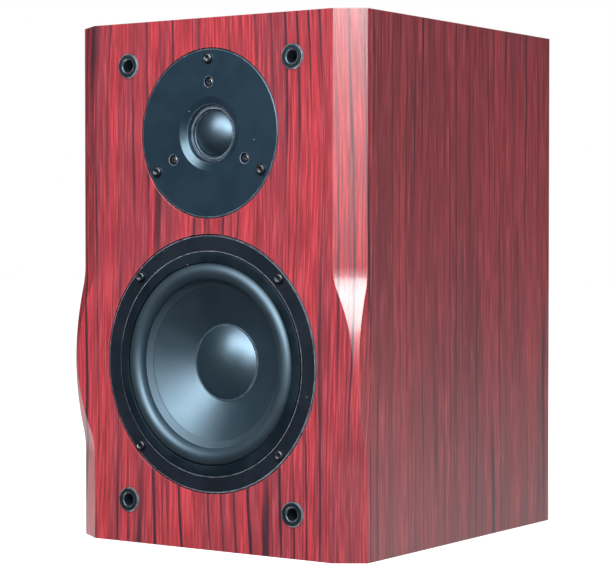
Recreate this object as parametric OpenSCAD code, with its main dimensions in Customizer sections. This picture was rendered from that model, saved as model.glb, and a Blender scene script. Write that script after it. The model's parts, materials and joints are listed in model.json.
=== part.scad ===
// Two-way bookshelf loudspeaker with a swelled front baffle, a bass driver, a dome tweeter,
// a rear port, a terminal cup with two binding posts and a passive crossover.
// Origin: middle of the cabinet's base. +Z is up and the front faces -Y, so +X is on the right of
// someone who looks at the front. Millimetres.

/* [Cabinet] */
// Overall width of the cabinet
cabinet_w = 218; // [200:1:280]
// Overall height of the cabinet
cabinet_h = 328; // [324:1:420]
// Depth of the cabinet from its front face to its rear face
cabinet_d = 240; // [200:1:320]
// Thickness of the side, top and bottom panels
panel_t = 12; // [9:1:16]
// Thickness of the front baffle
baffle_t = 15; // [15:1:20]
// Thickness of the rear panel
rear_t = 12; // [9:1:16]
// Width and depth of the fine groove where the baffle meets the cabinet
joint_groove = 0.6; // [0.3:0.1:1.2]
// Thickness of the wadding that lines the sides and the top
wadding_t = 12; // [6:1:18]

/* [Baffle shaping] */
// Width of each side bevel, across the front
bevel_w = 17.5; // [10:0.5:20]
// Depth of each side bevel, along the side
bevel_d = 11.5; // [7:0.5:13]
// Width that is left of the bevel at the waist, beside the bass driver
waist_w = 3.4; // [2:0.2:6]
// Radius of the swell that carries the bevel outwards
swell_r = 180; // [120:5:260]
// Radius that blends the swell into the straight bevel
blend_r = 60; // [20:5:90]

/* [Bass driver] */
// Height of the bass driver's centre above the base
woofer_z = 115; // [114:1:130]
// Radius of the bass driver's flange
woofer_r = 79.7; // [76:0.1:82]
// Radius of the circle that the bass driver's screws stand on
woofer_screw_circle_r = 75.2; // [73:0.1:76]
// Radius of the baffle's hole for the basket
woofer_hole_r = 71.2; // [71:0.1:72]
// Inner radius of the bass voice coil's former
woofer_coil_r = 16; // [14:0.5:19]
// Radius of the bass driver's magnet
woofer_magnet_r = 45; // [38:1:50]
// Thickness of the bass driver's magnet
woofer_magnet_t = 15; // [12:1:20]
// Travel of the cone each way
woofer_travel = 5; // [2:0.5:6]

/* [Tweeter] */
// Distance from the top of the cabinet to the tweeter's centre
tweeter_drop = 71; // [62:1:76]
// Radius of the tweeter's faceplate
tweeter_r = 52; // [48:0.5:54]
// Radius of the circle that the tweeter's outer screws stand on
tweeter_screw_circle_r = 46; // [43:0.5:47]
// Radius of the circle that the tweeter's recessed inner screws stand on
tweeter_inner_circle_r = 31.6; // [30:0.2:32]
// Radius of the dome at its edge
dome_r = 14.4; // [12:0.2:15]
// Radius of the tweeter's magnet
tweeter_magnet_r = 33; // [28:1:34]
// Depth of the chamber behind the tweeter
tweeter_chamber_depth = 18; // [10:1:30]

/* [Grille sockets] */
// Distance of each socket from the side of the cabinet
socket_side = 46; // [36:1:60]
// Distance of each socket from the top or the base
socket_end = 27; // [24:1:32]
// Radius of the hole that takes a grille peg
socket_bore_r = 3.8; // [2.5:0.1:4.2]
// Radius of the socket's lip
socket_lip_r = 7.8; // [7:0.1:9]

/* [Port] */
// Inner radius of the port tube
port_r = 20; // [14:1:24]
// Length of the port from the rear face to its inner end
port_length = 100; // [70:5:110]
// Distance from the top of the cabinet to the port's centre
port_drop = 76; // [60:1:90]

/* [Terminals] */
// Height of the terminal cup's centre above the base
cup_z = 100; // [90:1:120]
// Width of the terminal cup's flange
cup_w = 84; // [78:1:100]
// Height of the terminal cup's flange
cup_h = 64; // [58:1:80]
// Distance between the two binding posts
post_spacing = 19.05; // [19:0.05:24]
// Radius of the hole that takes a banana plug
banana_r = 2; // [1.9:0.05:2.1]
// Radius of the post's threaded stem
stem_r = 3; // [3:0.1:3.4]
// Distance that a post's cap unscrews
cap_travel = 4; // [3:0.5:4]

/* [Crossover] */
// Width of the crossover board
board_w = 130; // [126:1:150]
// Depth of the crossover board
board_d = 96; // [92:1:110]
// Gap between the crossover board and the rear panel
board_gap = 10; // [4:1:20]

/* [Wiring] */
// Radius of the insulated leads
lead_r = 1.3; // [1:0.1:1.6]

/* [Hidden] */
$fn = 96;

// ---- shared clearances and stock sizes ----
slip = 0.1;            // gap round a shank, a tube or a glued joint
plate_gap = 0.5;       // gap between a driver's rim and its recess
seal_t = 1;            // thickness of the foam seals
screw_r = 1.9;         // radius of the driver screws' shanks
screw_hole_r = 2.2;    // radius of the holes those screws pass
screw_head_r = 3.4;
screw_head_h = 2;
screw_length = 12;

// ---- places ----
front_y = -cabinet_d / 2;
rear_y = cabinet_d / 2;
inner_x = cabinet_w / 2 - panel_t;
tweeter_z = cabinet_h - tweeter_drop;
port_z = cabinet_h - port_drop;
socket_x = cabinet_w / 2 - socket_side;
screw_angles = [90, 210, 330];

// ---- grille sockets and port ----
socket_depth = 11;
socket_lip_h = 1.2;
socket_barrel_r = 5.6;
socket_floor_t = 1.2;
port_wall = 2;
port_flare_r = 8;
port_flange_t = 3;
port_neck_r = port_r + port_flare_r + port_wall;

// ---- bass driver, along its own axis: 0 is the baffle's face, minus is into the cabinet ----
woofer_flange_t = 3;
woofer_rim_bevel = 0.6;
seat_r = woofer_r - 10.3;         // outer radius of the seat inside the flange
seat_z = -1.6;
seat_inner_r = seat_r - 7.6;
rubber_t = 0.8;
roll_r = 5;                       // radius of the surround's half roll
roll_tilt = 16;                   // the roll's inner edge lies deeper than its outer edge
roll_mid_r = seat_inner_r - 4.3;
roll_mid_z = seat_z + rubber_t / 2 - roll_r * sin(roll_tilt);
cone_edge_r = roll_mid_r - roll_r * cos(roll_tilt) + 0.3;
cone_edge_z = roll_mid_z - roll_r * sin(roll_tilt) - rubber_t / 2;
cone_lip = 4.8;                   // width of the flat edge that the surround is glued to
cone_t = 0.8;
former_t = 0.4;
winding_t = 0.7;
cone_neck_r = woofer_coil_r + former_t;
cone_depth = 18.6;                // from the cone's edge to its neck
cap_r = 24.2;                     // dust cap
cap_rise = 8.5;
cap_t = 0.7;
spider_z = -36;
spider_r = 46.5;
spider_t = 0.6;
ledge_z = spider_z - 1;           // the spider's seat in the basket
basket_end_z = -50;
basket_wall = 2;
top_plate_t = 5;
pole_plate_t = 5;
top_plate_z = basket_end_z - top_plate_t;
magnet_z = top_plate_z - woofer_magnet_t;
pole_plate_z = magnet_z - pole_plate_t;
winding_length = top_plate_t + 2 * woofer_travel - 3;  // keeps turns in the gap over the travel
winding_mid_z = basket_end_z - top_plate_t / 2;
coil_gap = 0.5;                   // between the coil and the iron on each side
tab_w = 4.8;
tab_t = 0.6;
tag_x = 7;                        // half the distance between a driver's two tabs
tag_y = -(spider_r + 7);

// ---- tweeter, along its own axis ----
face_t = 4;
boss_t = 6;
carrier_t = 2;
carrier_z = -boss_t - carrier_t;
bowl_floor_r = dome_r + 1;
bowl_r = bowl_floor_r + 7.6;      // where the bowl begins to turn in
bowl_round = 1.4;
bowl_slope = 30;                  // the bowl falls gently first, and steeply near the dome
boss_r = bowl_r + 3;
dome_rise = 6;
dome_t = 0.5;
dome_edge_z = -boss_t - dome_t / 2;
tweeter_plate_t = 4;
tweeter_magnet_t = 10;
tweeter_plate_z = carrier_z - tweeter_plate_t;
tweeter_magnet_z = tweeter_plate_z - tweeter_magnet_t;
tweeter_pole_plate_z = tweeter_magnet_z - tweeter_plate_t;
tweeter_coil_r = dome_r - 0.7;
tweeter_former_t = 0.3;
tweeter_winding_t = 0.4;
tweeter_hole_r = tweeter_magnet_r + 5;
carrier_r = tweeter_hole_r - 1.5;
inner_head_r = 2.8;
inner_head_h = 1.8;
inner_screw_r = 1.4;
counterbore_depth = 2.4;
vent_r = 4;
tweeter_tab_end_z = carrier_z - 12;
tweeter_tab_y = -(tweeter_inner_circle_r + 3.2);

// ---- binding posts, along their own axis: 0 is the cabinet's rear face, plus is outwards ----
cup_t = 3;
cup_wall = 2;
cup_corner_r = 8;
cup_body_w = cup_w - 18;
cup_body_h = cup_h - 18;
cup_floor_z = -17;
cup_floor_t = 2.5;
cup_top_z = seal_t + cup_t;
cup_screw_r = 1.6;
cup_screw_length = 11;
collar_h = 4;
washer_h = 1;
cap_h = 13;
knob_r = 6.5;
knob_flutes = 12;
flute_r = 0.9;
collar_top_z = cup_floor_z + collar_h;
cap_base_z = collar_top_z + washer_h;
stem_tip_z = cap_base_z + cap_h - 2.4;
banana_depth = 16;
wire_hole_r = 1.3;
wire_hole_z = collar_top_z + cap_travel / 2;
lug_t = 0.8;
lug_reach = 15;
nut_h = 4;
nut_r = 5.6;
lug_z = cup_floor_z - cup_floor_t - lug_t;
nut_z = lug_z - nut_h;
stem_end_z = nut_z - 4;

// ---- crossover ----
board_t = 5;
board_y = rear_y - rear_t - board_gap - board_d / 2;
board_top_z = panel_t + board_t;
board_screw_inset = 7;
bobbin_r = 22;
bobbin_h = 24;
bobbin_flange_t = 2;
bobbin_core_r = 9;
bobbin_place = [-36, 14];
treble_coil_place = [42, 22];
treble_coil_r = 16;
treble_coil_h = 13;
capacitor_r = 9;
capacitor_length = 34;
resistor_w = 10;
resistor_length = 40;

// ---- shared shapes ----

// Puts children on the front: local z comes out of the baffle's face, local y is up.
module on_front(x, z) {
    translate([x, front_y, z]) rotate([90, 0, 0]) children();
}

// Puts children on the rear: local z comes out of the rear face, local y is up.
module on_rear(x, z) {
    translate([x, rear_y, z]) rotate([90, 0, 180]) children();
}

module at_sockets() {
    for (x = [-socket_x, socket_x], z = [socket_end, cabinet_h - socket_end]) on_front(x, z) children();
}

module at_angles(angles, r) {
    for (a = angles) rotate(a) translate([r, 0, 0]) children();
}

module at_woofer_screws() {
    at_angles([45, 135, 225, 315], woofer_screw_circle_r) children();
}

module at_posts() {
    for (side = [-1, 1]) translate([side * post_spacing / 2, 0, 0]) children();
}

module ring(outer_r, inner_r, low, high) {
    translate([0, 0, low]) difference() {
        cylinder(r = outer_r, h = high - low);
        translate([0, 0, -1]) cylinder(r = inner_r, h = high - low + 2);
    }
}

module rounded_rect(w, h, r) {
    square([w - 2 * r, h], center = true);
    square([w, h - 2 * r], center = true);
    for (x = [-1, 1], y = [-1, 1]) translate([x * (w / 2 - r), y * (h / 2 - r)]) circle(r);
}

// Button-head screw: its head stands on z = 0 and has a hexagon socket.
module button_screw() {
    socket_r = 1.5;
    difference() {
        rotate_extrude() polygon([
            [0, -screw_length], [screw_r * 0.4, -screw_length], [screw_r, -screw_length + 2.4],
            [screw_r, 0], [screw_head_r, 0], [screw_head_r, screw_head_h * 0.35],
            [screw_head_r * 0.82, screw_head_h * 0.8], [screw_head_r * 0.58, screw_head_h], [0, screw_head_h]
        ]);
        translate([0, 0, screw_head_h * 0.35]) cylinder(r = socket_r, h = screw_head_h, $fn = 6);
    }
}

// Pan-head screw with a cross recess: its head stands on z = 0.
module cross_screw(r, length, head_r, head_h) {
    slot_w = 0.8;
    difference() {
        rotate_extrude() polygon([
            [0, -length], [r * 0.5, -length], [r, -length + 1.5], [r, 0], [head_r, 0],
            [head_r, head_h * 0.6], [head_r * 0.7, head_h], [0, head_h]
        ]);
        for (a = [0, 90]) rotate(a) translate([0, 0, head_h])
            cube([head_r * 1.2, slot_w, head_h * 1.1], center = true);
    }
}

// Point on a Bezier curve, for any number of control points.
function bezier(p, t) = len(p) == 1 ? p[0]
    : bezier([for (i = [0 : len(p) - 2]) p[i] * (1 - t) + p[i + 1] * t], t);

function unit(v) = v / norm(v);

// Round lead swept along the Bezier curve of its control points, with 8 sides.
module lead(controls, r, rings = 16) {
    sides = 8;
    path = [for (i = [0 : rings]) bezier(controls, i / rings)];
    last = len(controls) - 1;
    along = [for (i = [0 : rings]) unit(
        i == 0 ? controls[1] - controls[0]
        : i == rings ? controls[last] - controls[last - 1]
        : path[i + 1] - path[i - 1])];
    across = unit(cross(path[rings] - path[0], [0.31, 0.2, 0.93]));
    side = [for (v = along) unit(across - v * (across * v))];
    points = [for (i = [0 : rings], k = [0 : sides - 1])
        path[i] + r * (cos(k * 360 / sides) * side[i] + sin(k * 360 / sides) * cross(along[i], side[i]))];
    walls = [for (i = [0 : rings - 1], k = [0 : sides - 1])
        [i * sides + k, i * sides + (k + 1) % sides, (i + 1) * sides + (k + 1) % sides, (i + 1) * sides + k]];
    start_cap = [[for (k = [sides - 1 : -1 : 0]) k]];
    end_cap = [[for (k = [0 : sides - 1]) rings * sides + k]];
    polyhedron(points, [for (f = concat(walls, start_cap, end_cap)) [for (k = [len(f) - 1 : -1 : 0]) f[k]]]);
}

// Positions in the model's frame of a point given along the front's or the rear's local axes.
function from_front(x, y, z, centre_z) = [x, front_y - z, centre_z + y];
function from_rear(x, y, z, centre_z) = [-x, rear_y + z, centre_z + y];

// ---- cabinet ----

// Distance of the straight bevel, and of the waist, from the cabinet's square corner.
function corner_depth(width) = width * bevel_d / norm([bevel_w, bevel_d]);

// Outline of what is cut from a side edge, along the height (x) and outwards from the bevel (y):
// a straight bevel, a blend, the swell beside the bass driver, a blend, and the straight bevel.
module bevel_cutter_outline() {
    straight = -corner_depth(bevel_w);
    swell_y = -corner_depth(waist_w) - swell_r;
    blend_y = straight + blend_r;
    blend_x = sqrt(pow(swell_r + blend_r, 2) - pow(blend_y - swell_y, 2));
    join = atan2(blend_x, blend_y - swell_y);
    steps = 12;
    lower_blend = [for (i = [0 : steps]) let (a = join * i / steps)
        [woofer_z - blend_x + blend_r * sin(a), blend_y - blend_r * cos(a)]];
    swell = [for (i = [1 : 2 * steps - 1]) let (a = join * (i / steps - 1))
        [woofer_z + swell_r * sin(a), swell_y + swell_r * cos(a)]];
    upper_blend = [for (i = [steps : -1 : 0]) let (a = join * i / steps)
        [woofer_z + blend_x - blend_r * sin(a), blend_y - blend_r * cos(a)]];
    over = 20;
    polygon(concat(
        [[-over, over], [-over, straight]], lower_blend, swell, upper_blend,
        [[cabinet_h + over, straight], [cabinet_h + over, over]]
    ));
}

module bevel_cutter() {
    slant = atan2(bevel_d, bevel_w);
    reach = 60;
    translate([cabinet_w / 2, front_y, 0]) rotate([0, 0, slant]) translate([reach / 2, 0, 0])
        rotate([0, -90, 0]) linear_extrude(reach) scale([1, -1]) bevel_cutter_outline();
}

module front_baffle() {
    color("firebrick") difference() {
        translate([-cabinet_w / 2, front_y, 0]) cube([cabinet_w, baffle_t, cabinet_h]);
        bevel_cutter();
        mirror([1, 0, 0]) bevel_cutter();
        translate([0, front_y + baffle_t + 1, cabinet_h / 2]) rotate([90, 0, 0])
            linear_extrude(joint_groove + 1) difference() {
                square([cabinet_w + 4, cabinet_h + 4], center = true);
                square([cabinet_w - 2 * joint_groove, cabinet_h - 2 * joint_groove], center = true);
            }
        on_front(0, woofer_z) {
            translate([0, 0, -baffle_t - 1]) cylinder(r = woofer_hole_r, h = baffle_t + 2);
            translate([0, 0, -woofer_flange_t - seal_t])
                cylinder(r = woofer_r + plate_gap, h = woofer_flange_t + seal_t + 1);
            at_woofer_screws() translate([0, 0, -screw_length - slip]) cylinder(r = screw_r + slip, h = screw_length);
        }
        on_front(0, tweeter_z) {
            translate([0, 0, -baffle_t - 1]) cylinder(r = tweeter_hole_r, h = baffle_t + 2);
            translate([0, 0, -face_t - seal_t]) cylinder(r = tweeter_r + plate_gap, h = face_t + seal_t + 1);
            at_angles(screw_angles, tweeter_screw_circle_r)
                translate([0, 0, -screw_length - slip]) cylinder(r = screw_r + slip, h = screw_length);
        }
        at_sockets() translate([0, 0, -baffle_t - 1]) cylinder(r = socket_barrel_r + slip, h = baffle_t + 2);
    }
}

// A panel of the carcass: an outline seen from the front, mitred at its corners, from the baffle to the rear.
module carcass_panel(outline) {
    translate([0, rear_y, 0]) rotate([90, 0, 0]) linear_extrude(cabinet_d - baffle_t) polygon(outline);
}

module side_panel() {
    carcass_panel([
        [cabinet_w / 2, 0], [cabinet_w / 2, cabinet_h], [inner_x, cabinet_h - panel_t], [inner_x, panel_t]
    ]);
}

module right_side_panel() {
    color("brown") side_panel();
}

module left_side_panel() {
    color("brown") mirror([1, 0, 0]) side_panel();
}

module top_panel() {
    color("brown") carcass_panel([
        [-cabinet_w / 2, cabinet_h], [cabinet_w / 2, cabinet_h],
        [inner_x, cabinet_h - panel_t], [-inner_x, cabinet_h - panel_t]
    ]);
}

module bottom_panel() {
    color("brown") difference() {
        carcass_panel([[-cabinet_w / 2, 0], [cabinet_w / 2, 0], [inner_x, panel_t], [-inner_x, panel_t]]);
        at_board_screws() translate([0, 0, panel_t - 8]) cylinder(r = screw_r + slip, h = 9);
    }
}

module rear_panel() {
    color("brown") difference() {
        translate([-inner_x, rear_y - rear_t, panel_t]) cube([2 * inner_x, rear_t, cabinet_h - 2 * panel_t]);
        on_rear(0, port_z) translate([0, 0, -rear_t - 1]) cylinder(r = port_neck_r + slip, h = rear_t + 2);
        on_rear(0, cup_z) {
            translate([0, 0, -rear_t - 1]) linear_extrude(rear_t + 2)
                rounded_rect(cup_body_w + 1, cup_body_h + 1, cup_corner_r - 1);
            at_cup_screws() translate([0, 0, -9]) cylinder(r = cup_screw_r + slip, h = 10);
        }
    }
}

// One sheet of wadding folded down both sides from the top, behind the drivers.
module damping_wadding() {
    wadding_gap = 1;
    wadding_front_y = front_y + baffle_t + 40;
    wadding_rear_y = rear_y - rear_t - 3;
    outer_x = inner_x - wadding_gap;
    top_z = cabinet_h - panel_t - wadding_gap;
    foot_z = panel_t + 40;
    color("whitesmoke") translate([0, wadding_rear_y, 0]) rotate([90, 0, 0])
        linear_extrude(wadding_rear_y - wadding_front_y) difference() {
            translate([-outer_x, foot_z]) square([2 * outer_x, top_z - foot_z]);
            translate([-outer_x + wadding_t, foot_z - 1])
                square([2 * (outer_x - wadding_t), top_z - wadding_t - foot_z + 1]);
        }
}

module grille_sockets() {
    edge = 0.7;
    mouth = 1;
    color("black") at_sockets() rotate_extrude() polygon([
        [0, -socket_depth], [socket_barrel_r, -socket_depth], [socket_barrel_r, 0], [socket_lip_r, 0],
        [socket_lip_r, socket_lip_h - edge], [socket_lip_r - edge, socket_lip_h],
        [socket_bore_r + mouth, socket_lip_h], [socket_bore_r, socket_lip_h - mouth],
        [socket_bore_r, socket_floor_t - socket_depth], [0, socket_floor_t - socket_depth]
    ]);
}

// Flanged tube with a quarter-round mouth.
module port_tube() {
    flange_r = port_neck_r + 4;
    mouth_z = port_flange_t;
    flare = [for (a = [0 : 6 : 90])
        [port_r + port_flare_r - port_flare_r * cos(a), mouth_z - port_flare_r + port_flare_r * sin(a)]];
    color("black") on_rear(0, port_z) rotate_extrude() polygon(concat(
        [[port_r, -port_length]], flare,
        [[flange_r - 1, mouth_z], [flange_r, mouth_z - 1], [flange_r, 0], [port_neck_r, 0],
         [port_neck_r, -3], [port_r + port_wall, -3 - port_flare_r], [port_r + port_wall, -port_length]]
    ));
}

// ---- bass driver ----

module woofer_frame() {
    seat_t = 1.8;
    mouth_r = woofer_hole_r - 0.6;
    throat_r = spider_r + 4;
    windows = 6;
    window_half = 21;
    color("dimgray") on_front(0, woofer_z) difference() {
        union() {
            rotate_extrude() polygon([
                [seat_r, 0], [woofer_r - woofer_rim_bevel, 0], [woofer_r, -woofer_rim_bevel],
                [woofer_r, -woofer_flange_t], [mouth_r, -woofer_flange_t], [mouth_r, -7],
                [throat_r + 1.5, ledge_z + 3], [throat_r, ledge_z + 1], [throat_r, ledge_z - 2.5],
                [throat_r - 5, ledge_z - 4.5], [woofer_magnet_r - 1, basket_end_z],
                [woofer_coil_r + 4, basket_end_z], [woofer_coil_r + 4, basket_end_z + basket_wall],
                [woofer_magnet_r - 3.5, basket_end_z + basket_wall], [spider_r - 5, ledge_z - 2],
                [spider_r - 5, ledge_z], [spider_r + 1.6, ledge_z], [spider_r + 1.6, ledge_z + 1.6],
                [throat_r - 0.6, ledge_z + 3.4], [mouth_r - 2.6, -6.6], [mouth_r - 2.6, seat_z - seat_t],
                [seat_inner_r, seat_z - seat_t], [seat_inner_r, seat_z], [seat_r, seat_z]
            ]);
            translate([-9, tag_y + 1, ledge_z - 2.5]) cube([18, 4.2, 3.5]);
        }
        at_woofer_screws() translate([0, 0, -woofer_flange_t - 1]) cylinder(r = screw_hole_r, h = woofer_flange_t + 2);
        for (i = [0 : windows - 1]) rotate(270 + i * 360 / windows) translate([0, 0, ledge_z + 4]) linear_extrude(21)
            polygon([[0, 0], [90, -90 * tan(window_half)], [90, 90 * tan(window_half)]]);
    }
}

module woofer_seal() {
    color("black") on_front(0, woofer_z) difference() {
        ring(woofer_r, woofer_hole_r + 0.3, -woofer_flange_t - seal_t, -woofer_flange_t);
        at_woofer_screws() translate([0, 0, -woofer_flange_t - seal_t - 1]) cylinder(r = screw_hole_r, h = seal_t + 2);
    }
}

// Rubber trim ring that stands a little proud of the flange.
module woofer_gasket_ring() {
    low = seat_z + rubber_t;
    high = 1.1;
    edge = 0.4;
    outer = seat_r - 0.4;
    inner = seat_inner_r + 0.9;
    color("black") on_front(0, woofer_z) rotate_extrude() polygon([
        [inner, low], [outer, low], [outer, high - edge], [outer - edge, high], [inner + edge, high],
        [inner, high - edge]
    ]);
}

// Half roll of rubber with a lip on the seat and a lip on the cone's edge.
module woofer_surround() {
    big = 3 * roll_r;
    color("black") on_front(0, woofer_z) rotate_extrude() {
        translate([roll_mid_r, roll_mid_z]) difference() {
            circle(roll_r + rubber_t / 2);
            circle(roll_r - rubber_t / 2);
            rotate(roll_tilt) translate([-big / 2, -big]) square([big, big]);
        }
        translate([seat_inner_r + 0.2, seat_z]) square([seat_r - 0.6 - seat_inner_r, rubber_t]);
        translate([cone_edge_r - cone_lip, cone_edge_z]) square([cone_lip + 0.2, rubber_t]);
    }
}

// Height of the cone's front surface at a radius: flat at the edge, then gently curved to the neck.
function cone_z(r) = let (s = (cone_edge_r - cone_lip - r) / (cone_edge_r - cone_lip - cone_neck_r))
    cone_edge_z - cone_depth * (0.94 * max(s, 0) + 0.06 * pow(max(s, 0), 2));

module woofer_cone() {
    steps = 10;
    run = cone_edge_r - cone_lip - cone_neck_r;
    front = [for (i = [0 : steps]) let (r = cone_neck_r + run * i / steps) [r, cone_z(r)]];
    back = [for (i = [steps : -1 : 0]) let (r = cone_neck_r + run * i / steps) [r, cone_z(r) - cone_t]];
    color("darkslategray") on_front(0, woofer_z) rotate_extrude() polygon(concat(
        front, [[cone_edge_r, cone_edge_z], [cone_edge_r, cone_edge_z - cone_t]], back
    ));
}

module dome_outline(edge_r, rise, t) {
    sphere_r = (edge_r * edge_r + rise * rise) / (2 * rise);
    difference() {
        intersection() {
            translate([0, rise - sphere_r]) circle(sphere_r);
            square([edge_r, rise]);
        }
        translate([0, rise - sphere_r]) circle(sphere_r - t);
    }
}

module woofer_dust_cap() {
    base = cone_z(cap_r) + slip;
    lip = 0.5;
    color("darkslategray") on_front(0, woofer_z) translate([0, 0, base]) rotate_extrude() {
        translate([0, lip]) dome_outline(cap_r - 1, cap_rise, cap_t);
        translate([cap_r - 2.2, 0]) square([2.2, lip + 0.2]);
    }
}

module woofer_coil_former() {
    color("goldenrod") on_front(0, woofer_z)
        ring(woofer_coil_r + former_t, woofer_coil_r, winding_mid_z - winding_length / 2 - 1, cone_z(cone_neck_r) + 1);
}

module woofer_voice_coil() {
    color("peru") on_front(0, woofer_z)
        ring(woofer_coil_r + former_t + winding_t, woofer_coil_r + former_t,
            winding_mid_z - winding_length / 2, winding_mid_z + winding_length / 2);
}

// Corrugated cloth disc that centres the coil.
module woofer_spider() {
    waves = 4;
    wave_points = 6;
    height = 1.6;
    inner = woofer_coil_r + former_t + slip;
    hub = inner + 2;
    run = spider_r - 6 - hub;
    wave = [for (i = [0 : waves * wave_points])
        [hub + run * i / (waves * wave_points), spider_z + height * sin(360 * i / wave_points)]];
    under = [for (i = [len(wave) - 1 : -1 : 0]) wave[i] - [0, spider_t]];
    color("khaki") on_front(0, woofer_z) rotate_extrude() polygon(concat(
        [[inner, spider_z]], wave, [[spider_r, spider_z], [spider_r, ledge_z], [spider_r - 4, ledge_z]],
        under, [[inner, spider_z - spider_t]]
    ));
}

module woofer_top_plate() {
    bore = woofer_coil_r + former_t + winding_t + coil_gap;
    color("silver") on_front(0, woofer_z) ring(woofer_magnet_r - 3, bore, top_plate_z, basket_end_z);
}

module woofer_magnet() {
    color("dimgray") on_front(0, woofer_z) ring(woofer_magnet_r, woofer_coil_r + 7, magnet_z, top_plate_z);
}

module woofer_pole_plate() {
    pole_r = woofer_coil_r - coil_gap;
    vent = 5;
    color("silver") on_front(0, woofer_z) difference() {
        union() {
            translate([0, 0, pole_plate_z]) cylinder(r = woofer_magnet_r - 3, h = pole_plate_t);
            translate([0, 0, magnet_z - 1]) cylinder(r = pole_r, h = basket_end_z - magnet_z + 1);
        }
        translate([0, 0, pole_plate_z - 1]) cylinder(r = vent, h = basket_end_z - pole_plate_z + 2);
    }
}

// Fibre board on the basket with two solder tabs.
module woofer_terminals() {
    tag_board_w = 22;
    color("tan") on_front(0, woofer_z) {
        translate([-tag_board_w / 2, tag_y - 0.6, ledge_z - 7]) cube([tag_board_w, 1.6, 10]);
        for (x = [-tag_x, tag_x]) translate([x - tab_w / 2, tag_y - 0.6 - tab_t, ledge_z - 11])
            cube([tab_w, tab_t, 14]);
    }
}

// Flexible leads from the back of the cone to the tags.
module woofer_tinsel_leads() {
    r = 0.6;
    start_r = 23;
    start_z = cone_z(start_r - 2 * r) - cone_t - slip;
    color("sienna") for (x = [-tag_x, tag_x])
        lead([
            from_front(x, -start_r, start_z, woofer_z),
            from_front(x, -start_r, start_z - 8, woofer_z),
            from_front(x, -start_r - 17, ledge_z + 10, woofer_z),
            from_front(x, tag_y + 0.2, ledge_z + 15, woofer_z),
            from_front(x, tag_y + 0.2, ledge_z + 3, woofer_z)
        ], r);
}

module woofer_screws() {
    color("dimgray") on_front(0, woofer_z) at_woofer_screws() button_screw();
}

// ---- tweeter ----

module tweeter_faceplate() {
    rim = 0.5;
    turn = [for (a = [0 : 10 : bowl_slope]) [bowl_r - bowl_round * sin(a), -bowl_round * (1 - cos(a))]];
    step_r = bowl_floor_r + 2.8;
    step_z = -(bowl_r - step_r) * tan(bowl_slope) + 0.2;
    floor_z = -boss_t + 0.8;
    lip_z = floor_z + 0.8;
    color("darkslategray") on_front(0, tweeter_z) difference() {
        rotate_extrude() polygon(concat(
            [[tweeter_r, -face_t], [tweeter_r, -rim], [tweeter_r - rim, 0]], turn,
            [[step_r, step_z], [bowl_floor_r + 1.7, floor_z], [bowl_floor_r + 0.7, floor_z],
             [bowl_floor_r + 0.5, lip_z],
             [bowl_floor_r, lip_z], [bowl_floor_r, -boss_t], [boss_r, -boss_t], [boss_r, -face_t]]
        ));
        at_angles(screw_angles, tweeter_screw_circle_r) translate([0, 0, -face_t - 1])
            cylinder(r = screw_hole_r, h = face_t + 2);
        at_angles(screw_angles, tweeter_inner_circle_r) {
            translate([0, 0, -face_t - 1]) cylinder(r = inner_screw_r + slip, h = face_t + 2);
            translate([0, 0, -counterbore_depth]) cylinder(r = inner_head_r + 0.4, h = counterbore_depth + 1);
        }
    }
}

module tweeter_seal() {
    color("black") on_front(0, tweeter_z) difference() {
        ring(tweeter_r, tweeter_hole_r + 0.3, -face_t - seal_t, -face_t);
        at_angles(screw_angles, tweeter_screw_circle_r) translate([0, 0, -face_t - seal_t - 1])
            cylinder(r = screw_hole_r, h = seal_t + 2);
    }
}

module tweeter_dome() {
    color("darkslategray") on_front(0, tweeter_z) translate([0, 0, dome_edge_z - dome_t / 2])
        rotate_extrude() dome_outline(dome_r, dome_rise, dome_t);
}

// Small half roll round the dome, with a lip held between the faceplate and the carrier.
module tweeter_surround() {
    mid_r = (dome_r + slip + bowl_floor_r) / 2;
    roll = mid_r - dome_r - slip;
    low = -boss_t - dome_t;
    color("black") on_front(0, tweeter_z) rotate_extrude() {
        translate([mid_r, low]) difference() {
            circle(roll);
            circle(roll - 0.25);
            translate([-5, -10]) square([10, 10]);
        }
        translate([bowl_floor_r - 0.35, low]) square([4, dome_t]);
    }
}

// Coil wound on its former, glued under the dome's edge.
module tweeter_voice_coil() {
    top = dome_edge_z - dome_t / 2;
    mid = carrier_z - tweeter_plate_t / 2;
    half = 1.5;
    color("peru") on_front(0, tweeter_z) {
        ring(tweeter_coil_r + tweeter_former_t, tweeter_coil_r, mid - half, top);
        ring(tweeter_coil_r + tweeter_former_t + tweeter_winding_t, tweeter_coil_r + tweeter_former_t,
            mid - half, mid + half);
    }
}

module tweeter_carrier_ring() {
    lip_r = bowl_floor_r + 4;
    color("dimgray") on_front(0, tweeter_z) difference() {
        rotate_extrude() polygon([
            [bowl_floor_r + 0.3, carrier_z], [carrier_r, carrier_z], [carrier_r, -face_t],
            [boss_r + slip, -face_t], [boss_r + slip, -boss_t], [lip_r, -boss_t],
            [lip_r, -boss_t - dome_t], [bowl_floor_r + 0.3, -boss_t - dome_t]
        ]);
        at_angles(screw_angles, tweeter_inner_circle_r) translate([0, 0, carrier_z - 1])
            cylinder(r = inner_screw_r + slip, h = 6);
    }
}

module tweeter_top_plate() {
    bore = tweeter_coil_r + tweeter_former_t + tweeter_winding_t + 0.4;
    color("silver") on_front(0, tweeter_z) difference() {
        ring(tweeter_inner_circle_r + 2.8, bore, tweeter_plate_z, carrier_z);
        at_angles(screw_angles, tweeter_inner_circle_r) translate([0, 0, tweeter_plate_z - 1])
            cylinder(r = inner_screw_r + slip, h = tweeter_plate_t + 2);
    }
}

module tweeter_magnet() {
    color("dimgray") on_front(0, tweeter_z)
        ring(tweeter_magnet_r, tweeter_coil_r + 2.5, tweeter_magnet_z, tweeter_plate_z);
}

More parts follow.
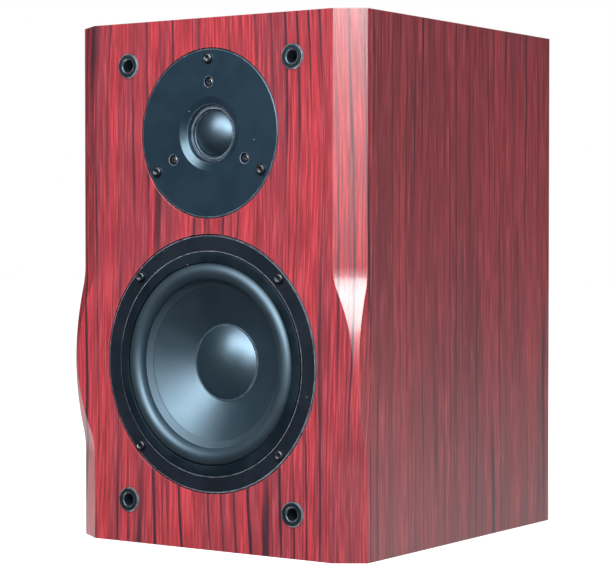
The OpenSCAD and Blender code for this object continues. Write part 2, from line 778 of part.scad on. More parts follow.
module tweeter_pole_plate() {
    pole_r = tweeter_coil_r - 0.4;
    color("silver") on_front(0, tweeter_z) difference() {
        union() {
            translate([0, 0, tweeter_pole_plate_z]) cylinder(r = tweeter_magnet_r - 5, h = tweeter_plate_t);
            translate([0, 0, tweeter_magnet_z - 1]) cylinder(r = pole_r, h = carrier_z - tweeter_magnet_z + 1);
        }
        translate([0, 0, tweeter_pole_plate_z - 1]) cylinder(r = vent_r, h = carrier_z - tweeter_pole_plate_z + 2);
    }
}

module tweeter_rear_chamber() {
    wall = 1.6;
    outer = tweeter_magnet_r - 6;
    low = tweeter_pole_plate_z - tweeter_chamber_depth;
    color("black") on_front(0, tweeter_z) difference() {
        translate([0, 0, low]) cylinder(r = outer, h = tweeter_chamber_depth);
        translate([0, 0, low + wall]) cylinder(r = outer - wall, h = tweeter_chamber_depth);
    }
}

module tweeter_inner_screws() {
    head_z = -counterbore_depth;
    length = head_z - tweeter_plate_z - 0.5;
    color("dimgray") on_front(0, tweeter_z) at_angles(screw_angles, tweeter_inner_circle_r)
        translate([0, 0, head_z]) cross_screw(inner_screw_r, length, inner_head_r, inner_head_h);
}

module tweeter_outer_screws() {
    color("dimgray") on_front(0, tweeter_z) at_angles(screw_angles, tweeter_screw_circle_r) button_screw();
}

module tweeter_terminals() {
    color("goldenrod") on_front(0, tweeter_z) for (x = [-tag_x, tag_x])
        translate([x - tab_w / 2, tweeter_tab_y - tab_t, tweeter_tab_end_z])
            cube([tab_w, tab_t, carrier_z - tweeter_tab_end_z]);
}

// ---- terminal cup ----

module at_cup_screws() {
    inset = 5.5;
    for (x = [-1, 1], y = [-1, 1]) translate([x * (cup_w / 2 - inset), y * (cup_h / 2 - inset), 0]) children();
}

module terminal_cup() {
    draft = 1;
    color("black") on_rear(0, cup_z) difference() {
        union() {
            translate([0, 0, seal_t]) linear_extrude(cup_t - draft) rounded_rect(cup_w, cup_h, cup_corner_r);
            translate([0, 0, cup_top_z - draft]) linear_extrude(draft)
                rounded_rect(cup_w - 2 * draft, cup_h - 2 * draft, cup_corner_r - draft);
            translate([0, 0, cup_floor_z - cup_floor_t]) linear_extrude(seal_t - cup_floor_z + cup_floor_t + 1)
                rounded_rect(cup_body_w, cup_body_h, cup_corner_r - 2);
        }
        translate([0, 0, cup_floor_z]) linear_extrude(cup_top_z - cup_floor_z + 1)
            rounded_rect(cup_body_w - 2 * cup_wall, cup_body_h - 2 * cup_wall, cup_corner_r - 2 - cup_wall);
        at_cup_screws() translate([0, 0, -1]) cylinder(r = cup_screw_r + 0.3, h = cup_top_z + 2);
        at_posts() translate([0, 0, cup_floor_z - cup_floor_t - 1]) cylinder(r = stem_r + slip, h = cup_floor_t + 2);
    }
}

module terminal_cup_seal() {
    color("black") on_rear(0, cup_z) linear_extrude(seal_t) difference() {
        rounded_rect(cup_w - 1, cup_h - 1, cup_corner_r - 0.5);
        rounded_rect(cup_body_w + 1, cup_body_h + 1, cup_corner_r - 1);
        at_cup_screws() circle(cup_screw_r + 0.3);
    }
}

module terminal_cup_screws() {
    color("dimgray") on_rear(0, cup_z) at_cup_screws() translate([0, 0, cup_top_z])
        cross_screw(cup_screw_r, cup_screw_length, 3, 1.8);
}

// Threaded studs with a banana bore in the end and a wire hole across.
module post_stems() {
    color("gold") on_rear(0, cup_z) at_posts() difference() {
        translate([0, 0, stem_end_z]) cylinder(r = stem_r, h = stem_tip_z - stem_end_z);
        translate([0, 0, stem_tip_z - banana_depth]) cylinder(r = banana_r, h = banana_depth + 1);
        translate([0, 0, wire_hole_z]) rotate([90, 0, 0])
            cylinder(r = wire_hole_r, h = 4 * stem_r, center = true);
    }
}

module post_collar() {
    ring(knob_r, stem_r + slip, cup_floor_z, collar_top_z);
}

module clamp_washer() {
    ring(knob_r - 0.6, stem_r + slip, collar_top_z, cap_base_z);
}

// Fluted knob, with a stepped hole: the thread below and the banana plug's hole in its end.
module post_cap() {
    end_t = 2;
    difference() {
        rotate_extrude() polygon([
            [stem_r + slip, cap_base_z], [knob_r, cap_base_z], [knob_r, cap_base_z + cap_h - 1],
            [knob_r - 1, cap_base_z + cap_h], [banana_r + 0.6, cap_base_z + cap_h],
            [banana_r + 0.6, cap_base_z + cap_h - end_t], [stem_r + slip, cap_base_z + cap_h - end_t]
        ]);
        for (i = [0 : knob_flutes - 1]) rotate(i * 360 / knob_flutes)
            translate([knob_r + 0.3, 0, cap_base_z + 2.5]) cylinder(r = flute_r, h = cap_h, $fn = 24);
    }
}

module red_side() {
    on_rear(0, cup_z) translate([post_spacing / 2, 0, 0]) children();
}

module black_side() {
    on_rear(0, cup_z) translate([-post_spacing / 2, 0, 0]) children();
}

module red_post_collar() {
    color("red") red_side() post_collar();
}

module black_post_collar() {
    color("black") black_side() post_collar();
}

module red_clamp_washer() {
    color("gold") red_side() clamp_washer();
}

module black_clamp_washer() {
    color("gold") black_side() clamp_washer();
}

module red_post_cap() {
    color("red") red_side() post_cap();
}

module black_post_cap() {
    color("black") black_side() post_cap();
}

module post_nuts() {
    color("gold") on_rear(0, cup_z) at_posts() difference() {
        translate([0, 0, nut_z]) cylinder(r = nut_r, h = nut_h, $fn = 6);
        translate([0, 0, nut_z - 1]) cylinder(r = stem_r + slip, h = nut_h + 2);
    }
}

module solder_lugs() {
    color("silver") on_rear(0, cup_z) at_posts() translate([0, 0, lug_z]) linear_extrude(lug_t) difference() {
        union() {
            circle(stem_r + 2);
            translate([-tab_w / 2, -lug_reach]) square([tab_w, lug_reach - 2]);
        }
        circle(stem_r + slip);
    }
}

// ---- crossover ----

module on_board(x, y) {
    translate([x, board_y + y, board_top_z]) children();
}

module at_board_screws() {
    for (x = [-1, 1], y = [-1, 1])
        translate([x * (board_w / 2 - board_screw_inset), board_y + y * (board_d / 2 - board_screw_inset), 0])
            children();
}

module crossover_board() {
    color("saddlebrown") difference() {
        translate([-board_w / 2, board_y - board_d / 2, panel_t]) cube([board_w, board_d, board_t]);
        at_board_screws() translate([0, 0, panel_t - 1]) cylinder(r = screw_hole_r, h = board_t + 2);
    }
}

module crossover_screws() {
    color("dimgray") at_board_screws() translate([0, 0, board_top_z]) cross_screw(screw_r, 12, 3.6, 2.2);
}

module bass_inductor_bobbin() {
    color("black") on_board(bobbin_place[0], bobbin_place[1]) {
        ring(bobbin_r, 3.5, 0, bobbin_flange_t);
        ring(bobbin_core_r, 3.5, bobbin_flange_t, bobbin_h - bobbin_flange_t);
        ring(bobbin_r, 3.5, bobbin_h - bobbin_flange_t, bobbin_h);
    }
}

module bass_inductor_winding() {
    color("peru") on_board(bobbin_place[0], bobbin_place[1])
        ring(bobbin_r - 2, bobbin_core_r + slip, bobbin_flange_t + slip, bobbin_h - bobbin_flange_t - slip);
}

module treble_inductor() {
    color("peru") on_board(treble_coil_place[0], treble_coil_place[1])
        ring(treble_coil_r, 7, 0, treble_coil_h);
}

module film_capacitors() {
    color("gold") for (y = [-16, -37]) on_board(34, y) translate([0, 0, capacitor_r]) rotate([0, 90, 0])
        cylinder(r = capacitor_r, h = capacitor_length, center = true);
}

module ceramic_resistors() {
    color("white") for (y = [-20, -35]) on_board(-30, y) translate([-resistor_length / 2, -resistor_w / 2, 0])
        cube([resistor_length, resistor_w, resistor_w - 1]);
}

// ---- wiring ----

// From the solder lugs down to the rear edge of the board.
module input_leads() {
    color("red") for (side = [-1, 1]) {
        start = from_rear(side * post_spacing / 2, 2.5 - lug_reach, lug_z, cup_z);
        foot = [-side * 6, board_y + board_d / 2 - 14, board_top_z];
        lead([start, start + [0, -14, 0], start + [0, -16, -24], foot + [0, 4, 34], foot + [0, 0, 18], foot], lead_r);
    }
}

// From the front edge of the board up to the bass driver's tabs.
module woofer_leads() {
    color("black") for (side = [-1, 1]) {
        end = from_front(side * tag_x, tag_y - 0.6 - tab_t, ledge_z - 8, woofer_z);
        foot = [side * 6, board_y - board_d / 2 + 12, board_top_z];
        lead([foot, foot + [0, 0, 16], foot + [0, -24, 26], end + [0, 10, -24], end + [0, 0, -12], end], lead_r);
    }
}

// From the board up beside the right-hand wadding to the tweeter's tabs.
module tweeter_leads() {
    color("white") for (side = [-1, 1]) {
        end = from_front(side * tag_x, tweeter_tab_y - tab_t, tweeter_tab_end_z + 2, tweeter_z);
        foot = [4 + side * 4, board_y + 8, board_top_z];
        lead([
            foot, foot + [0, 0, 30], [inner_x - 34 + side * 4, board_y - 20, woofer_z - 20],
            [inner_x - 10 + side * 4, front_y + 100, woofer_z + 50],
            [inner_x - 10 + side * 4, front_y + 60, tweeter_z - 40],
            end + [0, 6, -44], end + [0, 0, -16], end
        ], lead_r, rings = 40);
    }
}

front_baffle();
left_side_panel();
right_side_panel();
top_panel();
bottom_panel();
rear_panel();
damping_wadding();
grille_sockets();
port_tube();
woofer_frame();
woofer_seal();
woofer_gasket_ring();
woofer_surround();
woofer_cone();
woofer_dust_cap();
woofer_coil_former();
woofer_voice_coil();
woofer_spider();
woofer_top_plate();
woofer_magnet();
woofer_pole_plate();
woofer_terminals();
woofer_tinsel_leads();
woofer_screws();
tweeter_faceplate();
tweeter_seal();
tweeter_dome();
tweeter_surround();
tweeter_voice_coil();
tweeter_carrier_ring();
tweeter_top_plate();
tweeter_magnet();
tweeter_pole_plate();
tweeter_rear_chamber();
tweeter_inner_screws();
tweeter_outer_screws();
tweeter_terminals();
terminal_cup();
terminal_cup_seal();
terminal_cup_screws();
post_stems();
red_post_collar();
black_post_collar();
red_clamp_washer();
black_clamp_washer();
red_post_cap();
black_post_cap();
post_nuts();
solder_lugs();
crossover_board();
crossover_screws();
bass_inductor_bobbin();
bass_inductor_winding();
treble_inductor();
film_capacitors();
ceramic_resistors();
input_leads();
woofer_leads();
tweeter_leads();
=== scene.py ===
"""Looks of a two-way bookshelf loudspeaker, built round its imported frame.

Every piece stands where the frame's nodes stand, in metres. Sizes along a driver's own axis are in
millimetres: 0 is the baffle's face, plus is out of the cabinet and minus is into it.
"""

import json
import logging
import math
from dataclasses import dataclass, field
from enum import Enum

import bmesh
import bpy
from mathutils import Matrix, Vector, noise

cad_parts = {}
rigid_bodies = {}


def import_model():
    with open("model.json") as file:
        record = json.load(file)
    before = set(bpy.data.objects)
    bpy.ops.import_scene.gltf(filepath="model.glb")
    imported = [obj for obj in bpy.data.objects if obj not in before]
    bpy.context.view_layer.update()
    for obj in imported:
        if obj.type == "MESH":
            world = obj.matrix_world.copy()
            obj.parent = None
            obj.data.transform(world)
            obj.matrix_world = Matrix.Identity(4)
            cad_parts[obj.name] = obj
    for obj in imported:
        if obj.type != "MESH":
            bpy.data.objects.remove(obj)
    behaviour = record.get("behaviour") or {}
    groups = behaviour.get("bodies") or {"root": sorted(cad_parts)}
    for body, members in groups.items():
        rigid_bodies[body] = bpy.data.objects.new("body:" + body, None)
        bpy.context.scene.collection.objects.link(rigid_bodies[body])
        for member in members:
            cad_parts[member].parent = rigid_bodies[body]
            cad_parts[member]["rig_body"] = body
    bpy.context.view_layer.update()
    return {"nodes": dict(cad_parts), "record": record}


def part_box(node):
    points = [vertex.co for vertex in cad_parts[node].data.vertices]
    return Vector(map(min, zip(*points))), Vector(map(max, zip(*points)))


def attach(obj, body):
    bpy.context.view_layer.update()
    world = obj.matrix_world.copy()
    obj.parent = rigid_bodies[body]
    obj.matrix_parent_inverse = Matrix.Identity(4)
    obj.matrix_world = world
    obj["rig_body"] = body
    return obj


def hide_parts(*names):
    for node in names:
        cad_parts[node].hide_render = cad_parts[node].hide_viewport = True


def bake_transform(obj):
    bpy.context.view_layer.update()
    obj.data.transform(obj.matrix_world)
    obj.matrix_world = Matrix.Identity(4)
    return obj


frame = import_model()
NODES = frame["nodes"]
MM = 0.001
WHITE = (1.0, 1.0, 1.0)
LOG = logging.getLogger("speaker")

Colour = tuple[float, float, float]
Outline = list[tuple[float, float]]


class Run(Enum):
    """Which way a timber or metal pattern runs: turns, in degrees, that bring the grain upright."""

    UPRIGHT_FRONT = (0.0, 0.0, 0.0)
    UPRIGHT_SIDE = (0.0, 0.0, -90.0)
    FRONT_TO_REAR = (-90.0, 0.0, 0.0)


class Facing(Enum):
    """Which way a turned piece's axis comes out of the cabinet."""

    FRONT = "front"
    REAR = "rear"


def centre_of(node: str) -> Vector:
    """Gives the middle of a node's box."""
    low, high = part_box(node)
    return (low + high) / 2


def body_of(node: str) -> str:
    """Gives the body that a node rides on."""
    return NODES[node]["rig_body"]


def slot_of(node: str) -> str:
    """Gives the material slot that the record names for a node."""
    return next(part["material_slot"] for part in frame["record"]["subparts"] if part["node"] == node)


def shade(colour: Colour, factor: float, lift: float = 0.0) -> Colour:
    """Darkens or lightens a colour."""
    red, green, blue = (min(1.0, factor * part + lift) for part in colour)
    return red, green, blue


# ---------------------------------------------------------------- shader nodes


class Graph:
    """Places shader nodes in one node tree and joins them."""

    def __init__(self, tree: bpy.types.NodeTree) -> None:
        """Starts on a node tree."""
        self.tree = tree
        self.material: bpy.types.Material | None = None

    def node(self, kind: str, inputs: dict | None = None, **settings: object) -> bpy.types.Node:
        """Adds a node.

        Args:
            kind: Blender's name of the node's type.
            inputs: A value or another node's socket for each input, by name or number.
            **settings: Properties of the node.

        Returns:
            The new node.
        """
        made = self.tree.nodes.new(kind)
        for name, value in settings.items():
            setattr(made, name, value)
        for key, value in (inputs or {}).items():
            if isinstance(value, bpy.types.NodeSocket):
                self.tree.links.new(value, made.inputs[key])
            else:
                made.inputs[key].default_value = value
        return made

    def math(self, operation: str, *values: object) -> bpy.types.NodeSocket:
        """Adds a Math node and gives its result."""
        return self.node("ShaderNodeMath", dict(enumerate(values)), operation=operation).outputs[0]

    def vector_math(self, operation: str, *values: object) -> bpy.types.NodeSocket:
        """Adds a Vector Math node and gives its vector."""
        return self.node("ShaderNodeVectorMath", dict(enumerate(values)), operation=operation).outputs[0]

    def noise(self, vector: object, stretch: Colour, detail: float = 2.0) -> bpy.types.NodeSocket:
        """Adds noise with its own number of features per metre along each axis.

        Args:
            vector: Socket of the place.
            stretch: Features per metre along x, y and z.
            detail: Number of finer layers.

        Returns:
            Socket of the noise, from 0 to 1.
        """
        place = self.vector_math("MULTIPLY", vector, stretch)
        inputs = {"Vector": place, "Scale": 1.0, "Detail": detail}
        return self.node("ShaderNodeTexNoise", inputs).outputs["Fac"]

    def window(self, value: object, low: float, high: float, start: float = 0.0, end: float = 1.0) -> object:
        """Turns a value smoothly from start, at low, to end, at high."""
        inputs = {"Value": value, "From Min": low, "From Max": high, "To Min": start, "To Max": end}
        return self.node("ShaderNodeMapRange", inputs, interpolation_type="SMOOTHSTEP").outputs["Result"]

    def group(self, tree: bpy.types.NodeTree, vector: object, **values: float) -> object:
        """Places a shared effect."""
        inputs = {name.replace("_", " "): value for name, value in values.items()}
        return self.node("ShaderNodeGroup", {"Vector": vector, **inputs}, node_tree=tree).outputs

    def mix(self, share: object, first: object, second: object) -> bpy.types.NodeSocket:
        """Mixes two colours.

        Args:
            share: How much of the second colour shows.
            first: A socket or a colour of three numbers.
            second: A socket or a colour of three numbers.

        Returns:
            Socket of the mixed colour.
        """
        colours = [(*c, 1.0) if isinstance(c, tuple) else c for c in (first, second)]
        inputs = {0: share, 6: colours[0], 7: colours[1]}
        return self.node("ShaderNodeMix", inputs, data_type="RGBA").outputs[2]


class Effect:
    """A shared effect: a node group with named inputs and outputs, built once."""

    built: dict[str, bpy.types.NodeTree] = {}

    @classmethod
    def start(cls, name: str, inputs: dict[str, object], outputs: list[str]) -> tuple[Graph, dict, object]:
        """Starts a group's tree.

        Args:
            name: The group's name.
            inputs: Each input's name and starting value; None is a vector with no value.
            outputs: The outputs' names, all plain values.

        Returns:
            The group's graph, its inputs' sockets by name, and its output node.
        """
        tree = bpy.data.node_groups.new(name, "ShaderNodeTree")
        for label, value in inputs.items():
            kind = "NodeSocketVector" if value is None else "NodeSocketFloat"
            made = tree.interface.new_socket(label, in_out="INPUT", socket_type=kind)
            if value is not None:
                made.default_value = value
        for label in outputs:
            tree.interface.new_socket(label, in_out="OUTPUT", socket_type="NodeSocketFloat")
        graph = Graph(tree)
        entry = graph.node("NodeGroupInput")
        leave = graph.node("NodeGroupOutput")
        cls.built[name] = tree
        return graph, {label: entry.outputs[label] for label in inputs}, leave

    @classmethod
    def finish(cls, graph: Graph, leave: bpy.types.Node, results: dict[str, object]) -> None:
        """Joins a group's results to its outputs."""
        for label, socket in results.items():
            graph.tree.links.new(socket, leave.inputs[label])

    @classmethod
    def timber_figure(cls) -> bpy.types.NodeTree:
        """Builds the figure of striped rosewood, with x across the grain and z along it.

        Returns:
            The group, with the streaks, the slow change of tone, the fibres and the height of the pores.
        """
        if "timber_figure" in cls.built:
            return cls.built["timber_figure"]
        inputs = {"Vector": None, "Waviness": 0.01, "Streaks": 60.0, "Width": 0.07}
        graph, sockets, leave = cls.start("timber_figure", inputs, ["Streak", "Tone", "Fibre", "Height"])
        place = sockets["Vector"]
        slow = graph.math("SUBTRACT", graph.noise(place, (9.0, 9.0, 3.5), 1.0), 0.5)
        quick = graph.math("SUBTRACT", graph.noise(place, (50.0, 50.0, 24.0), 2.0), 0.5)
        shift = graph.math("ADD", slow, graph.math("MULTIPLY", quick, 0.04))
        shift = graph.math("MULTIPLY", shift, sockets["Waviness"])
        moved = graph.vector_math("ADD", place, graph.node("ShaderNodeCombineXYZ", {"X": shift}).outputs[0])
        parts = graph.node("ShaderNodeSeparateXYZ", {"Vector": moved}).outputs

        hair = graph.math("SUBTRACT", graph.noise(moved, (520.0, 520.0, 45.0), 2.0), 0.5)

        def lines(per_metre: object, width: object, seed: float, weakest: float, uneven: float) -> object:
            """Draws dark lines along the grain, each with its own strength and width.

            Args:
                per_metre: Lines per metre across the grain.
                width: Half a line's width, as a share of its field.
                seed: Shift that sets these lines apart from others.
                weakest: Strength of the weakest line; below 0, some are left out.
                uneven: How unevenly the lines are spaced, as a share of a field.

            Returns:
                Socket of the lines' strength.
            """
            bend = graph.noise(graph.vector_math("ADD", moved, (seed, 0.0, 0.0)), (23.0, 23.0, 6.0), 0.0)
            count = graph.math("MULTIPLY", parts["X"], per_metre)
            count = graph.math("MULTIPLY_ADD", bend, uneven, count)
            own = graph.math("FLOOR", count)
            gap = graph.math("SUBTRACT", graph.math("SUBTRACT", count, own), 0.5)
            gap = graph.math("ABSOLUTE", gap)
            number = graph.math("MULTIPLY_ADD", own, 7.31, seed)
            along = graph.math("MULTIPLY", parts["Z"], 5.0)
            spot = graph.node("ShaderNodeCombineXYZ", {"X": number, "Z": along}).outputs[0]
            luck = graph.noise(spot, WHITE, 1.0)
            strength = graph.window(luck, 0.36, 0.66, weakest, 1.0)
            half = graph.math("MULTIPLY", width, graph.window(luck, 0.3, 0.7, 0.6, 1.7))
            gap = graph.math("MULTIPLY_ADD", hair, graph.math("MULTIPLY", width, 1.6), gap)
            line = graph.window(graph.math("DIVIDE", gap, half), 0.5, 1.2, 1.0, 0.0)
            return graph.math("MULTIPLY", line, strength)

        rate = sockets["Streaks"]
        width = sockets["Width"]
        streak = lines(rate, width, 3.7, 0.2, 1.1)
        for share, wide, seed, weakest, top in ((2.3, 1.1, 8.1, -0.8, 0.5), (0.23, 0.5, 5.3, -1.5, 0.95)):
            more_rate = graph.math("MULTIPLY", rate, share)
            more = lines(more_rate, graph.math("MULTIPLY", width, wide), seed, weakest, 0.5)
            streak = graph.math("MAXIMUM", streak, graph.math("MULTIPLY", more, top))
        band = graph.noise(moved, (85.0, 85.0, 3.0), 2.0)
        patch = graph.noise(moved, (14.0, 14.0, 4.0), 2.0)
        mixed = graph.math("MULTIPLY_ADD", band, 0.7, graph.math("MULTIPLY", patch, 0.3))
        tone = graph.window(mixed, 0.38, 0.6)
        fibre = graph.noise(moved, (820.0, 820.0, 30.0), 5.0)
        pore = graph.window(graph.noise(moved, (1500.0, 1500.0, 90.0), 1.0), 0.62, 0.74)
        height = graph.math("MULTIPLY_ADD", fibre, 0.35, graph.math("MULTIPLY", pore, -0.6))
        cls.finish(graph, leave, {"Streak": streak, "Tone": tone, "Fibre": fibre, "Height": height})
        return cls.built["timber_figure"]

    @classmethod
    def fine_grain(cls) -> bpy.types.NodeTree:
        """Builds the fine grain of paint, moulded plastic and rubber.

        Returns:
            The group, with a mottle, a dust mask and the height of the grain.
        """
        if "fine_grain" in cls.built:
            return cls.built["fine_grain"]
        inputs = {"Vector": None, "Per Metre": 3000.0, "Dust": 0.3}
        graph, sockets, leave = cls.start("fine_grain", inputs, ["Mottle", "Dust", "Height"])
        place = sockets["Vector"]
        scaling = {0: place, 3: sockets["Per Metre"]}
        scaled = graph.node("ShaderNodeVectorMath", scaling, operation="SCALE").outputs[0]
        grain = graph.noise(scaled, WHITE, 3.0)
        mottle = graph.noise(place, (70.0, 70.0, 70.0), 3.0)
        cells = graph.node("ShaderNodeTexVoronoi", {"Vector": place, "Scale": 260.0})
        near = graph.window(cells.outputs["Distance"], 0.05, 0.12, 1.0, 0.0)
        chosen = graph.math("GREATER_THAN", graph.node(
            "ShaderNodeSeparateColor", {"Color": cells.outputs["Color"]}).outputs[0], 0.93)
        dust = graph.math("MULTIPLY", graph.math("MULTIPLY", near, chosen), sockets["Dust"])
        cls.finish(graph, leave, {"Mottle": mottle, "Dust": dust, "Height": grain})
        return cls.built["fine_grain"]

    @classmethod
    def edge_wear_and_highlight(cls) -> bpy.types.NodeTree:
        """Builds a mask of sharp edges, broken up by noise, for wear that is partly a painted edge
        highlight.

        Returns:
            The group, with the mask of worn edges that also carry painted highlights.
        """
        if "edge_wear_and_highlight" in cls.built:
            return cls.built["edge_wear_and_highlight"]
        inputs = {"Vector": None, "Radius": 0.0006, "Amount": 0.6}
        graph, sockets, leave = cls.start("edge_wear_and_highlight", inputs, ["Edge"])
        bent = graph.node("ShaderNodeBevel", {"Radius": sockets["Radius"]}, samples=4).outputs[0]
        true = graph.node("ShaderNodeNewGeometry").outputs["Normal"]
        product = graph.node("ShaderNodeVectorMath", {0: bent, 1: true}, operation="DOT_PRODUCT")
        alike = product.outputs["Value"]
        edge = graph.window(alike, 0.93, 0.995, 1.0, 0.0)
        patches = graph.noise(sockets["Vector"], (240.0, 240.0, 240.0), 2.0)
        patchy = graph.window(patches, 0.3, 0.62, 0.35, 1.0)
        edge = graph.math("MULTIPLY", graph.math("MULTIPLY", edge, patchy), sockets["Amount"])
        cls.finish(graph, leave, {"Edge": edge})
        return cls.built["edge_wear_and_highlight"]


class Finish:
    """Base of the finishes: starts a material and closes it with one Principled BSDF."""

    name: str

    def begin(self) -> tuple[Graph, bpy.types.NodeSocket]:
        """Starts the material.

        Returns:
            The material's graph and the socket of its Object coordinates.
        """
        made = bpy.data.materials.new(f"{self.name}_look")
        made.use_nodes = True
        made.node_tree.nodes.clear()
        graph = Graph(made.node_tree)
        graph.material = made
        return graph, graph.node("ShaderNodeTexCoord").outputs["Object"]

    def close(self, graph: Graph, inputs: dict[str, object]) -> bpy.types.Material:
        """Adds the shader and the output.

        Args:
            graph: The material's graph.
            inputs: Values and sockets of the Principled BSDF.

        Returns:
            The finished material.
        """
        shader = graph.node("ShaderNodeBsdfPrincipled", inputs)
        graph.node("ShaderNodeOutputMaterial", {"Surface": shader.outputs[0]})
        return graph.material

    def bump(self, graph: Graph, height: object, depth: float) -> bpy.types.NodeSocket:
        """Adds a bump."""
        inputs = {"Height": height, "Distance": depth, "Strength": 1.0}
        return graph.node("ShaderNodeBump", inputs).outputs[0]


@dataclass(frozen=True)
class Rosewood(Finish):
    """Printed rosewood foil under a satin lacquer.

    Args:
        name: The material's name.
        ground: Main colour.
        deep: Colour of the darker bands.
        streak: Colour of the streaks.
        run: Which way the grain runs.
        offset: Shift of the pattern, in metres, so that no two boards match.
        waviness: How far the streaks wander, in metres.
        streaks: Streak fields per metre across the grain.
        width: Width of a streak, as a share of its field.
        roughness: Roughness of the lacquer.
        lean: Share of the depth that is added to the width, so that the grain turns corners.
    """

    name: str
    ground: Colour
    deep: Colour
    streak: Colour
    run: Run = Run.UPRIGHT_FRONT
    offset: Colour = (0.0, 0.0, 0.0)
    waviness: float = 0.019
    streaks: float = 96.0
    width: float = 0.07
    roughness: float = 0.26
    lean: float = 0.6

    def material(self) -> bpy.types.Material:
        """Builds the material.

        Returns:
            The finished material.
        """
        graph, place = self.begin()
        turn = tuple(math.radians(angle) for angle in self.run.value)
        mapping = {"Vector": place, "Rotation": turn, "Location": self.offset}
        upright = graph.node("ShaderNodeMapping", mapping)
        parts = graph.node("ShaderNodeSeparateXYZ", {"Vector": upright.outputs[0]}).outputs
        across = graph.math("ADD", parts["X"], graph.math("MULTIPLY", parts["Y"], self.lean))
        laid = graph.node("ShaderNodeCombineXYZ", {"X": across, "Z": parts["Z"]}).outputs[0]
        figure = graph.group(
            Effect.timber_figure(), laid, Waviness=self.waviness, Streaks=self.streaks, Width=self.width)
        colour = graph.mix(figure["Tone"], self.deep, self.ground)
        dark_fibre = graph.window(figure["Fibre"], 0.42, 0.62, 0.0, 0.75)
        colour = graph.mix(dark_fibre, colour, shade(self.ground, 0.5))
        light_fibre = graph.window(figure["Fibre"], 0.34, 0.47, 0.45, 0.0)
        colour = graph.mix(light_fibre, colour, shade(self.ground, 1.3, 0.012))
        colour = graph.mix(graph.math("MULTIPLY", figure["Streak"], 0.93), colour, self.streak)
        # Lighter edges: partly wear, partly a painted highlight along them.
        wear_and_highlight = graph.group(Effect.edge_wear_and_highlight(), place, Radius=0.0007, Amount=0.22)
        colour = graph.mix(wear_and_highlight["Edge"], colour, shade(self.ground, 1.5, 0.12))
        rough = graph.window(figure["Streak"], 0.0, 1.0, self.roughness, self.roughness + 0.08)
        return self.close(graph, {
            "Base Color": colour, "Roughness": rough, "Specular IOR Level": 0.5,
            "Normal": self.bump(graph, figure["Height"], 0.00003),
            "Coat Weight": 0.5, "Coat Roughness": 0.16})


@dataclass(frozen=True)
class Moulded(Finish):
    """Plastic, rubber, foam, board or paint with a fine grain.

    Args:
        name: The material's name.
        colour: Main colour.
        second: Colour that the mottle turns to.
        roughness: Roughness where the surface is smoothest.
        spread: How much rougher it is where it is roughest.
        per_metre: Grains per metre.
        depth: Depth of the grain, in metres.
        dust: How strong the specks of dust are.
        edge: Colour of the edges: partly wear, partly a painted highlight along them.
        edge_amount: How strong the edges' wear and painted highlight are.
        edge_radius: Width of the worn, highlighted edge, in metres.
        specular: Strength of the plain reflection.
        tint: Colour of the plain reflection.
        ior: Index of refraction, higher for a stronger shine.
        coat: Weight of a clear coat.
    """

    name: str
    colour: Colour
    second: Colour
    roughness: float = 0.45
    spread: float = 0.12
    per_metre: float = 3000.0
    depth: float = 0.00003
    dust: float = 0.25
    edge: Colour = (0.3, 0.33, 0.36)
    edge_amount: float = 0.35
    edge_radius: float = 0.0004
    specular: float = 0.5
    tint: Colour = WHITE
    ior: float = 1.5
    coat: float = 0.0

    def material(self) -> bpy.types.Material:
        """Builds the material.

        Returns:
            The finished material.
        """
        graph, place = self.begin()
        grain = graph.group(Effect.fine_grain(), place, Per_Metre=self.per_metre, Dust=self.dust)
        wear_and_highlight = graph.group(Effect.edge_wear_and_highlight(), place, Radius=self.edge_radius, Amount=self.edge_amount)
        colour = graph.mix(graph.window(grain["Mottle"], 0.35, 0.65), self.colour, self.second)
        raised = graph.window(grain["Height"], 0.3, 0.7, 0.0, 0.3)
        colour = graph.mix(raised, colour, shade(self.colour, 0.6))
        colour = graph.mix(grain["Dust"], colour, (0.42, 0.44, 0.46))
        # Edge colour: partly wear, partly a painted highlight along the edges.
        colour = graph.mix(wear_and_highlight["Edge"], colour, self.edge)
        rough = graph.window(grain["Mottle"], 0.3, 0.7, self.roughness, self.roughness + self.spread)
        return self.close(graph, {
            "Base Color": colour, "Roughness": rough, "Specular IOR Level": self.specular,
            "Specular Tint": (*self.tint, 1.0), "IOR": self.ior,
            "Normal": self.bump(graph, grain["Height"], self.depth),
            "Coat Weight": self.coat, "Coat Roughness": 0.12})


@dataclass(frozen=True)
class Metal(Finish):
    """Turned, plated or ground metal.

    Args:
        name: The material's name.
        colour: Colour of the clean metal.
        tarnish: Colour of the duller patches.
        roughness: Roughness of the clean metal.
        stretch: Marks per metre along x, y and z.
        depth: Depth of the marks, in metres.
        metallic: How much of a metal the surface is.
        edge_lift: How much lighter its edges are: partly wear, partly a painted highlight.
    """

    name: str
    colour: Colour
    tarnish: Colour
    roughness: float = 0.28
    stretch: Colour = (900.0, 5200.0, 900.0)
    depth: float = 0.000015
    metallic: float = 1.0
    edge_lift: float = 0.05

    def material(self) -> bpy.types.Material:
        """Builds the material.

        Returns:
            The finished material.
        """
        graph, place = self.begin()
        marks = graph.noise(place, self.stretch, 2.0)
        patches = graph.window(graph.noise(place, (160.0, 160.0, 160.0), 3.0), 0.4, 0.68)
        wear_and_highlight = graph.group(Effect.edge_wear_and_highlight(), place, Amount=0.7)
        colour = graph.mix(graph.math("MULTIPLY", patches, 0.55), self.colour, self.tarnish)
        colour = graph.mix(graph.math("MULTIPLY", marks, 0.25), colour, shade(self.colour, 0.7))
        # Lighter edges: partly wear, partly a painted highlight along them.
        colour = graph.mix(wear_and_highlight["Edge"], colour, shade(self.colour, 1.25, self.edge_lift))
        rough = graph.window(marks, 0.3, 0.7, self.roughness, self.roughness + 0.16)
        return self.close(graph, {
            "Base Color": colour, "Roughness": rough, "Metallic": self.metallic,
            "Normal": self.bump(graph, marks, self.depth)})


